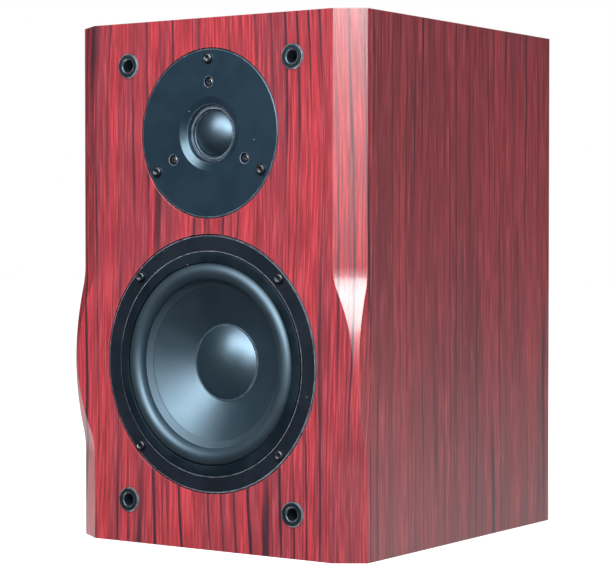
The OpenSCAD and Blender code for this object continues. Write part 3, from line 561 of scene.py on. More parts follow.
@dataclass(frozen=True)
class Woven(Finish):
    """Cloth, fleece or a coil: threads that cross, or turns that lie side by side.

    Args:
        name: The material's name.
        colour: Colour of the threads.
        shade: Painted shade in the hollows between the threads.
        pitch: Distance between threads, in metres.
        crossed: True for cloth, False for turns side by side along the depth.
        up_turns: True where the turns are stacked upwards.
        depth: Depth between the threads, in metres.
        roughness: Roughness of the threads.
        metallic: How much of a metal the threads are.
        sheen: Strength of the cloth's sheen.
    """

    name: str
    colour: Colour
    shade: Colour
    pitch: float = 0.0008
    crossed: bool = True
    up_turns: bool = False
    depth: float = 0.0001
    roughness: float = 0.7
    metallic: float = 0.0
    sheen: float = 0.0

    def material(self) -> bpy.types.Material:
        """Builds the material.

        Returns:
            The finished material.
        """
        graph, place = self.begin()
        parts = graph.node("ShaderNodeSeparateXYZ", {"Vector": place}).outputs
        turn = 2 * math.pi / self.pitch

        def thread(axis: str) -> bpy.types.NodeSocket:
            """Gives the height of threads that follow one another along an axis."""
            return graph.math("ABSOLUTE", graph.math("SINE", graph.math("MULTIPLY", parts[axis], turn / 2)))

        if self.crossed:
            height = graph.math("MULTIPLY", thread("X"), thread("Z"))
        else:
            height = thread("Z" if self.up_turns else "Y")
        fuzz = graph.noise(place, (900.0, 900.0, 900.0), 3.0)
        patch = graph.noise(place, (60.0, 60.0, 60.0), 3.0)
        # Painted shade in the hollows between the threads, and between the turns of a coil.
        colour = graph.mix(graph.window(height, 0.0, 0.7), self.shade, self.colour)
        colour = graph.mix(graph.math("MULTIPLY", fuzz, 0.3), colour, shade(self.colour, 0.7))
        colour = graph.mix(graph.window(patch, 0.4, 0.7, 0.0, 0.3), colour, shade(self.colour, 0.8))
        rough = graph.window(fuzz, 0.3, 0.7, self.roughness, min(1.0, self.roughness + 0.15))
        return self.close(graph, {
            "Base Color": colour, "Roughness": rough, "Metallic": self.metallic, "Sheen Weight": self.sheen,
            "Normal": self.bump(graph, graph.math("MULTIPLY_ADD", fuzz, 0.4, height), self.depth)})


COOL = (0.54, 0.8, 1.0)
FRONT_RED = (0.262, 0.025, 0.034)
FRONT_DEEP = (0.14, 0.025, 0.034)
STREAK = (0.02, 0.009, 0.015)
# The side colours, which the rear shares, are darker than the front's: partly a darker print, partly painted
# shade for the dimmer light on the side panels.
SIDE_RED_PART_SHADED = (0.19, 0.028, 0.036)
SIDE_DEEP_PART_SHADED = (0.105, 0.021, 0.027)
SIDE_STREAK = (0.034, 0.013, 0.017)
COPPER = (0.8, 0.36, 0.18)
COPPER_SHADE = (0.2, 0.07, 0.03)

FINISHES: dict[str, Finish] = {
    "red_grain_front": Rosewood("rosewood_front", FRONT_RED, FRONT_DEEP, STREAK, offset=(0.31, 0.0, 0.12)),
    "red_grain_side": Rosewood(
        "rosewood_side", SIDE_RED_PART_SHADED, SIDE_DEEP_PART_SHADED, SIDE_STREAK, Run.UPRIGHT_SIDE, (0.07, 0.0, 0.4),
        waviness=0.008, streaks=120.0, width=0.065, roughness=0.32),
    "rear_veneer": Rosewood(
        "rosewood_rear", SIDE_RED_PART_SHADED, SIDE_DEEP_PART_SHADED, SIDE_STREAK, Run.UPRIGHT_FRONT, (0.9, 0.0, 0.7),
        waviness=0.01, streaks=115.0, width=0.09, roughness=0.34),
    "top_grain": Rosewood(
        "rosewood_top", FRONT_RED, FRONT_DEEP, STREAK, Run.FRONT_TO_REAR, (0.5, 0.0, 0.2),
        waviness=0.014, streaks=95.0, roughness=0.3, lean=0.0),
    "wadding": Woven(
        "fleece", (0.8, 0.79, 0.76), (0.6, 0.6, 0.58), 0.006, depth=0.0012, roughness=0.9, sheen=0.2),
    "black_plastic": Moulded(
        "satin_black_plastic", (0.005, 0.0065, 0.009), (0.0075, 0.0095, 0.013), 0.27, 0.08, 2600.0, 0.00002,
        edge=(0.42, 0.47, 0.54), edge_amount=0.85, edge_radius=0.001, specular=1.0, tint=COOL, ior=1.6),
    "frame_paint": Moulded(
        "textured_black_paint", (0.004, 0.0055, 0.009), (0.0055, 0.007, 0.012), 0.38, 0.08, 3400.0, 0.00003,
        edge=(0.42, 0.46, 0.56), edge_amount=0.75, edge_radius=0.0008, tint=COOL),
    "face_paint": Moulded(
        "slate_paint", (0.0045, 0.0125, 0.0215), (0.006, 0.015, 0.025), 0.3, 0.03, 1500.0, 0.00004,
        dust=0.35, edge=(0.32, 0.36, 0.45), edge_amount=0.7, edge_radius=0.0007,
        specular=1.0, tint=COOL, ior=1.6),
    "black_foam": Moulded("foam", (0.02, 0.02, 0.022), (0.03, 0.03, 0.032), 0.85, 0.1, 1500.0, 0.0002),
    "black_rubber": Moulded(
        "rubber", (0.0015, 0.0045, 0.008), (0.002, 0.006, 0.01), 0.5, 0.05, 2400.0, 0.000012, dust=0.2,
        edge_amount=0.1, specular=1.0, tint=COOL, ior=1.9),
    "trim_rubber": Moulded(
        "grained_rubber", (0.0015, 0.004, 0.007), (0.0035, 0.0075, 0.012), 0.42, 0.14, 1400.0, 0.00008,
        dust=0.4, edge=(0.1, 0.13, 0.16), edge_amount=0.3, specular=0.35, tint=COOL),
    "cone_polymer": Moulded(
        "cone_polymer", (0.0015, 0.006, 0.011), (0.002, 0.0075, 0.013), 0.43, 0.04, 2800.0, 0.000014,
        dust=0.25, edge_amount=0.1, specular=1.0, tint=COOL, ior=1.9),
    "cap_polymer": Moulded(
        "cap_polymer", (0.004, 0.01, 0.015), (0.005, 0.0115, 0.017), 0.4, 0.04, 2800.0, 0.00001, dust=0.2,
        edge=(0.3, 0.36, 0.42), edge_amount=0.5, specular=1.0, tint=COOL, ior=1.9),
    "former_film": Moulded(
        "former_film", (0.5, 0.32, 0.1), (0.42, 0.25, 0.07), 0.25, 0.1, 900.0, 0.00001, coat=0.4),
    "copper": Woven("copper_wire", COPPER, COPPER_SHADE, 0.0009, False, False, 0.0002, 0.3, 0.9),
    "standing_copper": Woven(
        "stacked_copper_wire", COPPER, COPPER_SHADE, 0.0012, False, True, 0.0003, 0.3, 0.9),
    "spider_cloth": Woven(
        "resin_cloth", (0.66, 0.55, 0.26), (0.38, 0.3, 0.12), 0.0007, depth=0.00012, roughness=0.75),
    "plated_steel": Metal("zinc_plate", (0.62, 0.63, 0.64), (0.5, 0.48, 0.42), 0.3),
    "ferrite": Moulded("ferrite", (0.03, 0.03, 0.033), (0.05, 0.05, 0.054), 0.6, 0.2, 1800.0, 0.00006),
    "fibre_board": Moulded(
        "fibre_board", (0.35, 0.2, 0.09), (0.28, 0.15, 0.06), 0.6, 0.15, 1200.0, 0.00005),
    "black_screw": Metal("black_oxide", (0.09, 0.11, 0.125), (0.04, 0.05, 0.06), 0.3, edge_lift=0.55),
    "soft_dome": Moulded(
        "coated_cloth", (0.0015, 0.0055, 0.01), (0.002, 0.0065, 0.012), 0.41, 0.04, 5200.0, 0.000012,
        dust=0.1, edge=(0.3, 0.36, 0.42), edge_amount=0.4, specular=1.0, tint=COOL, ior=1.9),
    "tab_brass": Metal("brass", (0.78, 0.6, 0.26), (0.5, 0.36, 0.16), 0.3),
    "gold_plate": Metal("gold_plate", (0.9, 0.66, 0.24), (0.7, 0.48, 0.16), 0.16),
    "red_plastic": Moulded(
        "clear_red_plastic", (0.5, 0.012, 0.012), (0.4, 0.01, 0.012), 0.18, 0.08, 1800.0, 0.00001,
        edge=(0.8, 0.2, 0.2), coat=0.5),
    "knob_black": Moulded(
        "gloss_black_plastic", (0.015, 0.015, 0.016), (0.02, 0.02, 0.022), 0.18, 0.08, 1800.0, 0.00001,
        coat=0.5),
    "tinned_metal": Metal("tin", (0.72, 0.72, 0.7), (0.5, 0.5, 0.48), 0.34),
    "hardboard": Moulded("hardboard", (0.22, 0.11, 0.05), (0.17, 0.085, 0.04), 0.65, 0.15, 700.0, 0.0001),
    "zinc_screw": Metal("yellow_zinc", (0.66, 0.6, 0.42), (0.5, 0.4, 0.24), 0.3),
    "film_case": Moulded(
        "yellow_film", (0.7, 0.42, 0.04), (0.6, 0.34, 0.03), 0.25, 0.1, 900.0, 0.00001, coat=0.4),
    "ceramic": Moulded("ceramic", (0.78, 0.77, 0.72), (0.7, 0.69, 0.64), 0.75, 0.15, 1500.0, 0.00008),
    "input_wire": Moulded(
        "red_insulation", (0.45, 0.02, 0.02), (0.38, 0.02, 0.02), 0.4, 0.1, 1500.0, 0.00002),
    "bass_wire": Moulded(
        "black_insulation", (0.02, 0.02, 0.022), (0.03, 0.03, 0.032), 0.4, 0.1, 1500.0, 0.00002),
    "treble_wire": Moulded(
        "white_insulation", (0.7, 0.7, 0.68), (0.6, 0.6, 0.58), 0.4, 0.1, 1500.0, 0.00002),
}


MATERIALS: dict[str, bpy.types.Material] = {}


def finish_of(name: str) -> bpy.types.Material:
    """Gives the material of a finish, and builds it the first time.

    Args:
        name: Key of the finish.

    Returns:
        The material.
    """
    if name not in MATERIALS:
        MATERIALS[name] = FINISHES[name].material()
    return MATERIALS[name]


# ---------------------------------------------------------------- shapes


def arc(centre: tuple[float, float], radius: float, start: float, end: float, steps: int) -> Outline:
    """Gives the points of an arc, both ends included."""
    angles = [math.radians(start + (end - start) * i / steps) for i in range(steps + 1)]
    return [(centre[0] + radius * math.cos(a), centre[1] + radius * math.sin(a)) for a in angles]


def finished(bm: bmesh.types.BMesh, name: str, sharp: float = 30.0) -> bpy.types.Object:
    """Makes an object of a bmesh, smooth apart from its sharp edges.

    Args:
        bm: The bmesh, which is freed.
        name: The object's name.
        sharp: Angle from which an edge stays sharp, in degrees.

    Returns:
        The object.
    """
    mesh = bpy.data.meshes.new(name)
    for face in bm.faces:
        face.smooth = True
    bm.to_mesh(mesh)
    bm.free()
    mesh.set_sharp_from_angle(angle=math.radians(sharp))
    made = bpy.data.objects.new(name, mesh)
    bpy.context.scene.collection.objects.link(made)
    return made


def placed(facing: Facing, x: float, y: float, z: float) -> Matrix:
    """Gives the turn and shift from a driver's own axes, in millimetres, to the frame.

    Args:
        facing: Which way the axis points.
        x: Place of the axis across the cabinet, in metres.
        y: Place of the axis's zero along the depth, in metres.
        z: Height of the axis, in metres.

    Returns:
        The matrix.
    """
    turn = Matrix.Rotation(math.radians(90), 4, "X")
    if facing is Facing.REAR:
        turn = Matrix.Rotation(math.radians(180), 4, "Z") @ turn
    return Matrix.Translation((x, y, z)) @ turn @ Matrix.Scale(MM, 4)


def spun(bm: bmesh.types.BMesh, outline: Outline, at: Matrix, steps: int = 128, rounds: float = 0.0) -> None:
    """Turns a closed outline into a ring, or an open one that starts and ends on the axis into a solid.

    Args:
        bm: The bmesh that gets the shape.
        outline: Points of radius and height, in millimetres.
        at: Place of the axis.
        steps: Number of steps round the axis.
        rounds: Radius that rounds every sharp corner, in millimetres.
    """
    part = bmesh.new()
    verts = [part.verts.new((r, 0.0, h)) for r, h in outline]
    on_axis = abs(outline[0][0]) < 1e-9 and abs(outline[-1][0]) < 1e-9
    pairs = zip(verts, verts[1:] if on_axis else verts[1:] + verts[:1])
    for first, second in pairs:
        part.edges.new((first, second))
    if rounds:
        corners = [v for v in verts if len(v.link_edges) == 2 and corner_turn(v) > math.radians(28)]
        bmesh.ops.bevel(part, geom=corners, offset=rounds, offset_type="OFFSET", segments=3, profile=0.5,
                        affect="VERTICES", material=-1)
    bmesh.ops.spin(part, geom=part.verts[:] + part.edges[:], cent=(0, 0, 0), axis=(0, 0, 1),
                   angle=2 * math.pi, steps=steps, use_merge=True)
    bmesh.ops.remove_doubles(part, verts=part.verts[:], dist=1e-5)
    bmesh.ops.recalc_face_normals(part, faces=part.faces[:])
    add_to(bm, part, at)


def turned(
    name: str, outline: Outline, at: Matrix, steps: int = 96, sharp: float = 50.0, rounds: float = 0.0,
) -> bpy.types.Object:
    """Makes an object by turning one outline.

    Args:
        name: The object's name.
        outline: Points of radius and height, in millimetres.
        at: Place of the axis.
        steps: Number of steps round the axis.
        sharp: Angle from which an edge stays sharp, in degrees.
        rounds: Radius that rounds every sharp corner, in millimetres.

    Returns:
        The object.
    """
    bm = bmesh.new()
    spun(bm, outline, at, steps, rounds)
    return finished(bm, name, sharp)


def corner_turn(vert: bmesh.types.BMVert) -> float:
    """Gives how far an outline turns at a point."""
    first, second = (edge.other_vert(vert).co - vert.co for edge in vert.link_edges)
    return math.pi - first.angle(second)


def add_to(bm: bmesh.types.BMesh, part: bmesh.types.BMesh, at: Matrix) -> None:
    """Adds a part to a bmesh at a place.

    Args:
        bm: The bmesh that grows.
        part: The part, which is freed.
        at: Where the part goes.
    """
    bmesh.ops.transform(part, matrix=at, verts=part.verts[:])
    if at.determinant() < 0:
        bmesh.ops.reverse_faces(part, faces=part.faces[:])
    holder = bpy.data.meshes.new("holder")
    part.to_mesh(holder)
    part.free()
    bm.from_mesh(holder)
    bpy.data.meshes.remove(holder)


def mended(node: str, name: str, rounds: float = 0.0, sharp: float = 28.0) -> bpy.types.Object:
    """Copies a node's mesh with its triangles joined and its sharp edges rounded.

    Args:
        node: Name of the node.
        name: Name of the copy.
        rounds: Width of the rounding, in millimetres.
        sharp: Angle from which an edge counts as sharp, in degrees.

    Returns:
        The copy.
    """
    bm = bmesh.new()
    bm.from_mesh(NODES[node].data)
    bmesh.ops.remove_doubles(bm, verts=bm.verts[:], dist=2e-6)
    bmesh.ops.dissolve_limit(bm, angle_limit=math.radians(0.05), verts=bm.verts[:], edges=bm.edges[:])
    if rounds:
        edges = [e for e in bm.edges if e.is_manifold and e.calc_face_angle(0.0) > math.radians(sharp)]
        bmesh.ops.bevel(bm, geom=edges, offset=rounds * MM, offset_type="OFFSET", segments=2, profile=0.5,
                        affect="EDGES", material=-1, clamp_overlap=True, loop_slide=True)
    piece = finished(bm, name, sharp)
    if rounds:
        level = piece.modifiers.new("flat_faces_stay_flat", "WEIGHTED_NORMAL")
        level.keep_sharp = True
    return piece


def radial_blend(piece: bpy.types.Object) -> None:
    """Moves a ring's place from its object into its mesh.

    Args:
        piece: The ring.
    """
    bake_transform(piece)


def dress(
    piece: bpy.types.Object, node: str, finish: str | None = None, rides: bool = True,
) -> bpy.types.Object:
    """Gives a new piece its finish, and puts it in the place of a node.

    Args:
        piece: The new piece.
        node: The node that it stands for.
        finish: Key of the finish, where it isn't the one of the node's slot.
        rides: False for a piece that spans two bodies, which is left off both.

    Returns:
        The piece.
    """
    slot = slot_of(node)
    piece.data.materials.clear()
    piece.data.materials.append(finish_of(finish or slot))
    if rides:
        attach(piece, body_of(node))
    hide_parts(node)
    LOG.info("%s stands for %s", piece.name, node)
    return piece


# ---------------------------------------------------------------- sub-assemblies


@dataclass
class Cabinet:
    """The veneered boards and the wadding inside them.

    Args:
        edge_round: Rounding of the boards' edges, in millimetres.
        boards: Each board's node and the finish that it has.
    """

    edge_round: float = 0.35
    boards: dict[str, str] = field(default_factory=lambda: {
        "left_side_panel": "red_grain_side", "right_side_panel": "red_grain_side", "top_panel": "top_grain",
        "bottom_panel": "top_grain", "rear_panel": "rear_veneer"})

    def build(self) -> None:
        """Builds the boards and the wadding."""
        dress(mended("front_baffle", "shaped_baffle", self.edge_round, 25.0), "front_baffle")
        for node, finish in self.boards.items():
            dress(mended(node, f"veneered_{node}", self.edge_round), node, finish)
        self.wadding()

    def wadding(self) -> None:
        """Builds the folded fleece, with its faces puffed and dimpled."""
        bm = bmesh.new()
        bm.from_mesh(NODES["damping_wadding"].data)
        bmesh.ops.remove_doubles(bm, verts=bm.verts[:], dist=2e-6)
        bmesh.ops.subdivide_edges(bm, edges=bm.edges[:], cuts=7, use_grid_fill=True)
        bmesh.ops.smooth_vert(
            bm, verts=bm.verts[:], factor=0.3, use_axis_x=True, use_axis_y=True, use_axis_z=True)
        bm.normal_update()
        for vert in bm.verts:
            dimple = noise.noise(vert.co * 40.0) - 0.6
            vert.co += vert.normal * dimple * 0.8 * MM
        piece = dress(finished(bm, "fleece_lining", 60.0), "damping_wadding")


@dataclass
class BassDriver:
    """The bass driver: frame, trim ring, surround, cone, dust cap, coil and motor.

    Args:
        flange_r: Radius of the flange.
        seat_drop: Distance from the flange's outer radius to the seat's.
        seat_z: Height of the seat.
        seat_w: Width of the seat.
        rubber_t: Thickness of the surround.
        roll_r: Radius of the half roll.
        roll_tilt: Tilt of the roll, in degrees.
        cone_lip: Width of the cone's glued edge.
        lip_fall: How far that edge falls towards the cone.
        cone_depth: Depth of the cone from its edge to its neck.
        cone_t: Thickness of the cone.
        neck_r: Radius of the cone's neck.
        cap_r: Radius of the dust cap.
        cap_rise: Height of the dust cap.
        cap_t: Thickness of the dust cap.
        trim_h: Height of the trim ring above the baffle.
        wire_r: Radius of the voice coil's wire.
    """

    flange_r: float = 79.7
    seat_drop: float = 10.3
    seat_z: float = -1.6
    seat_w: float = 7.6
    rubber_t: float = 0.8
    roll_r: float = 5.0
    roll_tilt: float = 16.0
    cone_lip: float = 4.8
    lip_fall: float = 1.8
    cone_depth: float = 18.6
    cone_t: float = 0.8
    neck_r: float = 16.4
    cap_r: float = 24.2
    cap_rise: float = 8.5
    cap_t: float = 0.7
    trim_h: float = 1.1
    wire_r: float = 0.3

    def __post_init__(self) -> None:
        """Works out the places that follow from the sizes."""
        low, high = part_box("woofer_frame")
        self.axis = Vector(((low.x + high.x) / 2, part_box("front_baffle")[0].y, (low.z + high.z) / 2))
        self.at = placed(Facing.FRONT, *self.axis)
        tilt = math.radians(self.roll_tilt)
        self.seat_r = self.flange_r - self.seat_drop
        self.seat_inner_r = self.seat_r - self.seat_w
        roll_z = self.seat_z + self.rubber_t / 2 - self.roll_r * math.sin(tilt)
        self.roll_mid = (self.seat_inner_r - 4.3, roll_z)
        self.edge_r = self.roll_mid[0] - self.roll_r * math.cos(tilt) + 0.3
        self.edge_z = self.roll_mid[1] - self.roll_r * math.sin(tilt) - self.rubber_t / 2

    def cone_height(self, radius: float) -> float:
        """Gives the height of the cone's face.

        Args:
            radius: Distance from the axis.

        Returns:
            The height.
        """
        glued_r = self.edge_r - self.cone_lip
        if radius > glued_r:
            return self.edge_z - self.lip_fall * (self.edge_r - radius) / self.cone_lip
        share = (glued_r - radius) / (glued_r - self.neck_r)
        depth = self.cone_depth - self.lip_fall
        return self.edge_z - self.lip_fall - depth * (0.94 * share + 0.06 * share * share)

    def build(self) -> None:
        """Builds the driver's pieces in order."""
        dress(mended("woofer_frame", "bass_frame", 0.15), "woofer_frame")
        self.trim_ring()
        self.surround()
        self.cone()
        self.dust_cap()
        self.spider()
        self.tinsel()
        for part, rounds in (("seal", 0.2), ("magnet", 0.2), ("terminals", 0.2), ("top_plate", 0.4),
                             ("pole_plate", 0.4)):
            dress(mended(f"woofer_{part}", f"bass_{part}", rounds), f"woofer_{part}")
        dress(mended("woofer_coil_former", "bass_former"), "woofer_coil_former")
        self.voice_coil()

    def trim_ring(self) -> None:
        """Builds the grained rubber ring inside the flange."""
        outer = self.seat_r - 0.4
        inner = self.seat_inner_r + 0.9
        low = self.seat_z + self.rubber_t
        outline = [(inner, low), (outer, low), (outer, self.trim_h), (inner, self.trim_h)]
        dress(turned("trim_ring", outline, self.at, 160, 40.0, 0.45), "woofer_gasket_ring", "trim_rubber")

    def surround(self) -> None:
        """Builds the half roll with its two lips, as one closed skin."""
        tilt = self.roll_tilt
        half = self.rubber_t / 2
        outer = arc(self.roll_mid, self.roll_r + half, 2.0, 178.0 + tilt, 28)
        inner = arc(self.roll_mid, self.roll_r - half, 176.0 + tilt, 4.0, 28)
        lip_out = [(self.seat_r - 0.6, self.seat_z), (self.seat_r - 0.6, self.seat_z + self.rubber_t)]
        lip_in_r = self.edge_r - self.cone_lip
        lip_z = self.edge_z - self.lip_fall
        lip_in = [(lip_in_r, lip_z + half), (lip_in_r, lip_z)]
        piece = turned("rubber_surround", lip_out + outer + lip_in + inner, self.at, 160)
        radial_blend(piece)
        dress(piece, "woofer_surround", rides=False)

    def cone(self) -> None:
        """Builds the cone: a thin shell with a glued edge that falls inwards."""
        steps = 28
        glued_r = self.edge_r - self.cone_lip
        radii = [self.neck_r + (glued_r - self.neck_r) * i / steps for i in range(steps + 1)]
        face = [(r, self.cone_height(r)) for r in radii]
        back = [(r, self.cone_height(r) - self.cone_t) for r in reversed(radii)]
        edge = [(self.edge_r, self.edge_z - 0.02), (self.edge_r, self.edge_z - self.cone_t)]
        dress(turned("paper_cone", face + edge + back, self.at, 160), "woofer_cone")

    def dust_cap(self) -> None:
        """Builds the dust cap: a shallow dome with a thin glued rim."""
        rim_r = self.cap_r - 1.0
        base = self.cone_height(self.cap_r) + 0.1
        sphere_r = (rim_r * rim_r + self.cap_rise * self.cap_rise) / (2 * self.cap_rise)
        reach = math.degrees(math.asin(rim_r / sphere_r))
        centre = (0.0, base + 0.5 + self.cap_rise - sphere_r)
        crown = arc(centre, sphere_r, 90.0, 90.0 - reach, 22)
        crown[0] = (0.0, crown[0][1])
        under = [(r, h - self.cap_t) for r, h in reversed(crown)]
        under[0] = (rim_r - 1.2, base + 0.3)
        rim = [(rim_r + 0.25, base + 0.62), (self.cap_r - 0.2, base + 0.5), (self.cap_r, base)]
        rim += [(rim_r - 1.2, base)]
        dress(turned("dust_cap", crown + rim + under, self.at, 128, 40.0), "woofer_dust_cap")

    def spider(self) -> None:
        """Builds the corrugated centring disc, which spans from the frame to the coil."""
        piece = mended("woofer_spider", "centring_disc", 0.0, 60.0)
        radial_blend(piece)
        dress(piece, "woofer_spider", rides=False)

    def tinsel(self) -> None:
        """Builds the braided leads, which run from the cone to the tags."""
        piece = mended("woofer_tinsel_leads", "braided_leads", 0.0, 60.0)
        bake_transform(piece)
        dress(piece, "woofer_tinsel_leads", rides=False)

    def voice_coil(self) -> None:
        """Builds the coil as turns that lie side by side."""
        low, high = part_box("woofer_voice_coil")
        bottom = (self.axis.y - high.y) / MM
        top = (self.axis.y - low.y) / MM
        inner = self.neck_r
        outer = (high.x - self.axis.x) / MM
        turns = int((top - bottom) / (2 * self.wire_r))
        outline = [(inner, bottom)]
        for turn in range(turns):
            middle = (outer - self.wire_r, bottom + self.wire_r * (2 * turn + 1))
            outline += arc(middle, self.wire_r, -80.0, 80.0, 5)
        dress(turned("bass_voice_coil", outline + [(inner, top)], self.at), "woofer_voice_coil")


@dataclass
class Tweeter:
    """The tweeter: faceplate, dome, roll, coil and motor.

    Args:
        dome_r: Radius of the dome's edge.
        dome_rise: Height of the dome.
        edge_z: Height of the dome's edge.
        bowl_r: Radius of the bowl's floor.
        dome_t: Thickness of the dome.
        roll_t: Thickness of the roll.
        lip_w: Width of the roll's glued lip.
    """

    dome_r: float = 14.4
    dome_rise: float = 6.0
    edge_z: float = -6.5
    bowl_r: float = 15.4
    dome_t: float = 0.5
    roll_t: float = 0.25
    lip_w: float = 3.65

    def __post_init__(self) -> None:
        """Works out where the axis is."""
        middle = centre_of("tweeter_faceplate")
        self.axis = Vector((middle.x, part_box("front_baffle")[0].y, middle.z))
        self.at = placed(Facing.FRONT, *self.axis)

    def build(self) -> None:
        """Builds the tweeter's pieces in order."""
        dress(mended("tweeter_faceplate", "slate_faceplate", 0.14, 26.0), "tweeter_faceplate")
        self.dome()
        self.roll()
        for part in ("seal", "carrier_ring", "top_plate", "magnet", "pole_plate", "rear_chamber",
                     "inner_screws", "terminals"):
            dress(mended(f"tweeter_{part}", f"treble_{part}", 0.12), f"tweeter_{part}")
        dress(mended("tweeter_voice_coil", "treble_voice_coil"), "tweeter_voice_coil")

    def dome(self) -> None:
        """Builds the soft dome with a turned-out rim."""
        sphere_r = (self.dome_r ** 2 + self.dome_rise ** 2) / (2 * self.dome_rise)
        reach = math.degrees(math.asin(self.dome_r / sphere_r))
        centre = (0.0, self.edge_z + self.dome_rise - sphere_r)
        crown = arc(centre, sphere_r, 90.0, 90.0 - reach, 24)
        crown[0] = (0.0, crown[0][1])
        under = arc(centre, sphere_r - self.dome_t, 90.0 - reach, 90.0, 24)
        under = [(r, max(h, self.edge_z)) for r, h in under]
        under[-1] = (0.0, under[-1][1])
        dress(turned("soft_dome", crown + under, self.at), "tweeter_dome")

    def roll(self) -> None:
        """Builds the small half roll round the dome."""
        middle = ((self.dome_r + 0.1 + self.bowl_r) / 2, self.edge_z)
        size = middle[0] - self.dome_r - 0.1
        outer = arc(middle, size, 0.0, 180.0, 14)
        inner = arc(middle, size - self.roll_t, 180.0, 0.0, 14)
        lip_r = self.bowl_r + self.lip_w
        lip_top = self.edge_z + self.dome_t
        lip = [(lip_r, self.edge_z), (lip_r, lip_top), (self.bowl_r + 0.1, lip_top)]
        piece = turned("dome_roll", lip + outer + inner, self.at)
        radial_blend(piece)
        dress(piece, "tweeter_surround", "soft_dome", rides=False)


@dataclass
class Fixings:
    """The button-head screws on the front and the four grille sockets.

    Args:
        head_r: Radius of a screw's head.
        head_h: Height of a screw's head.
        socket_r: Radius of the hexagon's corners.
        shank_r: Radius of a screw's shank.
        shank: Length of a screw's shank.
        sides: Points round a screw, a multiple of six.
        lip_r: Radius of a grille socket's lip.
        lip_h: Height of a grille socket's lip.
        bore_r: Radius of a grille socket's bore.
        barrel_r: Radius of a grille socket's barrel.
        barrel: Length of a grille socket's barrel.
        floor_t: Thickness of a grille socket's floor.
        bass_circle_r: Radius of the circle that the bass driver's screws stand on.
        treble_circle_r: Radius of the circle that the tweeter's screws stand on.
    """

    head_r: float = 3.4
    head_h: float = 2.0
    socket_r: float = 1.85
    shank_r: float = 1.9
    shank: float = 12.0
    sides: int = 36
    lip_r: float = 7.8
    lip_h: float = 1.2
    bore_r: float = 3.8
    barrel_r: float = 5.6
    barrel: float = 11.0
    floor_t: float = 1.2
    bass_circle_r: float = 75.2
    treble_circle_r: float = 46.0

    def build(self) -> None:
        """Builds the screws of both drivers and the sockets."""
        bass = centre_of("woofer_frame")
        treble = centre_of("tweeter_faceplate")
        self.screws("woofer_screws", "bass_screws", bass, self.bass_circle_r, (45, 135, 225, 315))
        self.screws("tweeter_outer_screws", "treble_screws", treble, self.treble_circle_r, (90, 210, 330))
        self.grille_sockets()

    def screws(self, node: str, name: str, axis: Vector, circle_r: float, angles: tuple[int, ...]) -> None:
        """Builds one driver's screws.

        Args:
            node: The node that they stand for.
            name: The piece's name.
            axis: Middle of the driver.
            circle_r: Radius of the circle that they stand on.
            angles: Where each one stands on it, in degrees.
        """
        bm = bmesh.new()
        face_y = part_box("front_baffle")[0].y
        for angle in angles:
            turn = math.radians(angle)
            x = axis.x + circle_r * MM * math.cos(turn)
            z = axis.z + circle_r * MM * math.sin(turn)
            driven = Matrix.Rotation(turn * 3.7, 4, "Z")
            add_to(bm, self.button_screw(), placed(Facing.FRONT, x, face_y, z) @ driven)
        dress(finished(bm, name, 34.0), node)

    def button_screw(self) -> bmesh.types.BMesh:
        """Builds one screw by raising rings of points from its tip to the floor of its socket.

        Returns:
            The screw, in millimetres, with its head's seat at 0.
        """
        part = bmesh.new()
        bmesh.ops.create_circle(part, cap_ends=False, segments=self.sides, radius=self.shank_r * 0.4)
        loop = part.edges[:]
        bmesh.ops.translate(part, verts=part.verts[:], vec=(0, 0, -self.shank))
        bmesh.ops.holes_fill(part, edges=loop)
        flat_r = self.head_r - 0.55 * self.head_h
        turns = [math.radians(angle) for angle in (14, 36, 58, 80)]
        head = [(flat_r + 0.55 * self.head_h * math.cos(turn), self.head_h * (0.2 + 0.78 * math.sin(turn)))
                for turn in turns]
        rings = [(self.shank_r, -self.shank + 2.4, False), (self.shank_r, 0.0, False)]
        rings += [(self.head_r, 0.0, False), (self.head_r, 0.2 * self.head_h, False)]
        rings += [(radius, height, False) for radius, height in head]
        rings += [(self.socket_r * 1.08, self.head_h, True), (self.socket_r, self.head_h - 0.12, True),
                  (self.socket_r, 0.75, True), (self.socket_r * 0.4, 0.4, False)]
        for radius, height, hexagon in rings:
            grown = bmesh.ops.extrude_edge_only(part, edges=loop)["geom"]
            loop = [item for item in grown if isinstance(item, bmesh.types.BMEdge)]
            for vert in {v for edge in loop for v in edge.verts}:
                turn = math.atan2(vert.co.y, vert.co.x)
                inward = (turn % (math.pi / 3)) - math.pi / 6
                reach = radius * math.cos(math.pi / 6) / math.cos(inward) if hexagon else radius
                vert.co = Vector((reach * math.cos(turn), reach * math.sin(turn), height))
        bmesh.ops.holes_fill(part, edges=loop)
        bmesh.ops.recalc_face_normals(part, faces=part.faces[:])
        return part

    def grille_sockets(self) -> None:
        """Builds the four sockets, each a ringed lip, a bore and a barrel."""
        low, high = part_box("grille_sockets")
        face_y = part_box("front_baffle")[0].y
        bm = bmesh.new()
        outline = [(0.0, -self.barrel), (self.barrel_r, -self.barrel)]
        outline += [(self.barrel_r, 0.0), (self.lip_r, 0.0)]
        outline += arc((self.lip_r - 0.75, self.lip_h - 0.75), 0.75, 0.0, 90.0, 4)
        outline += [(self.bore_r + 1.25, self.lip_h)]
        outline += arc((self.bore_r + 1.1, self.lip_h - 1.1), 1.1, 98.0, 180.0, 5)
        outline += [(self.bore_r, -self.barrel + self.floor_t), (0.0, -self.barrel + self.floor_t)]
        reach = self.lip_r * MM
        for x in (low.x + reach, high.x - reach):
            for z in (low.z + reach, high.z - reach):
                spun(bm, outline, placed(Facing.FRONT, x, face_y, z), 64)
        dress(finished(bm, "ringed_sockets", 38.0), "grille_sockets")


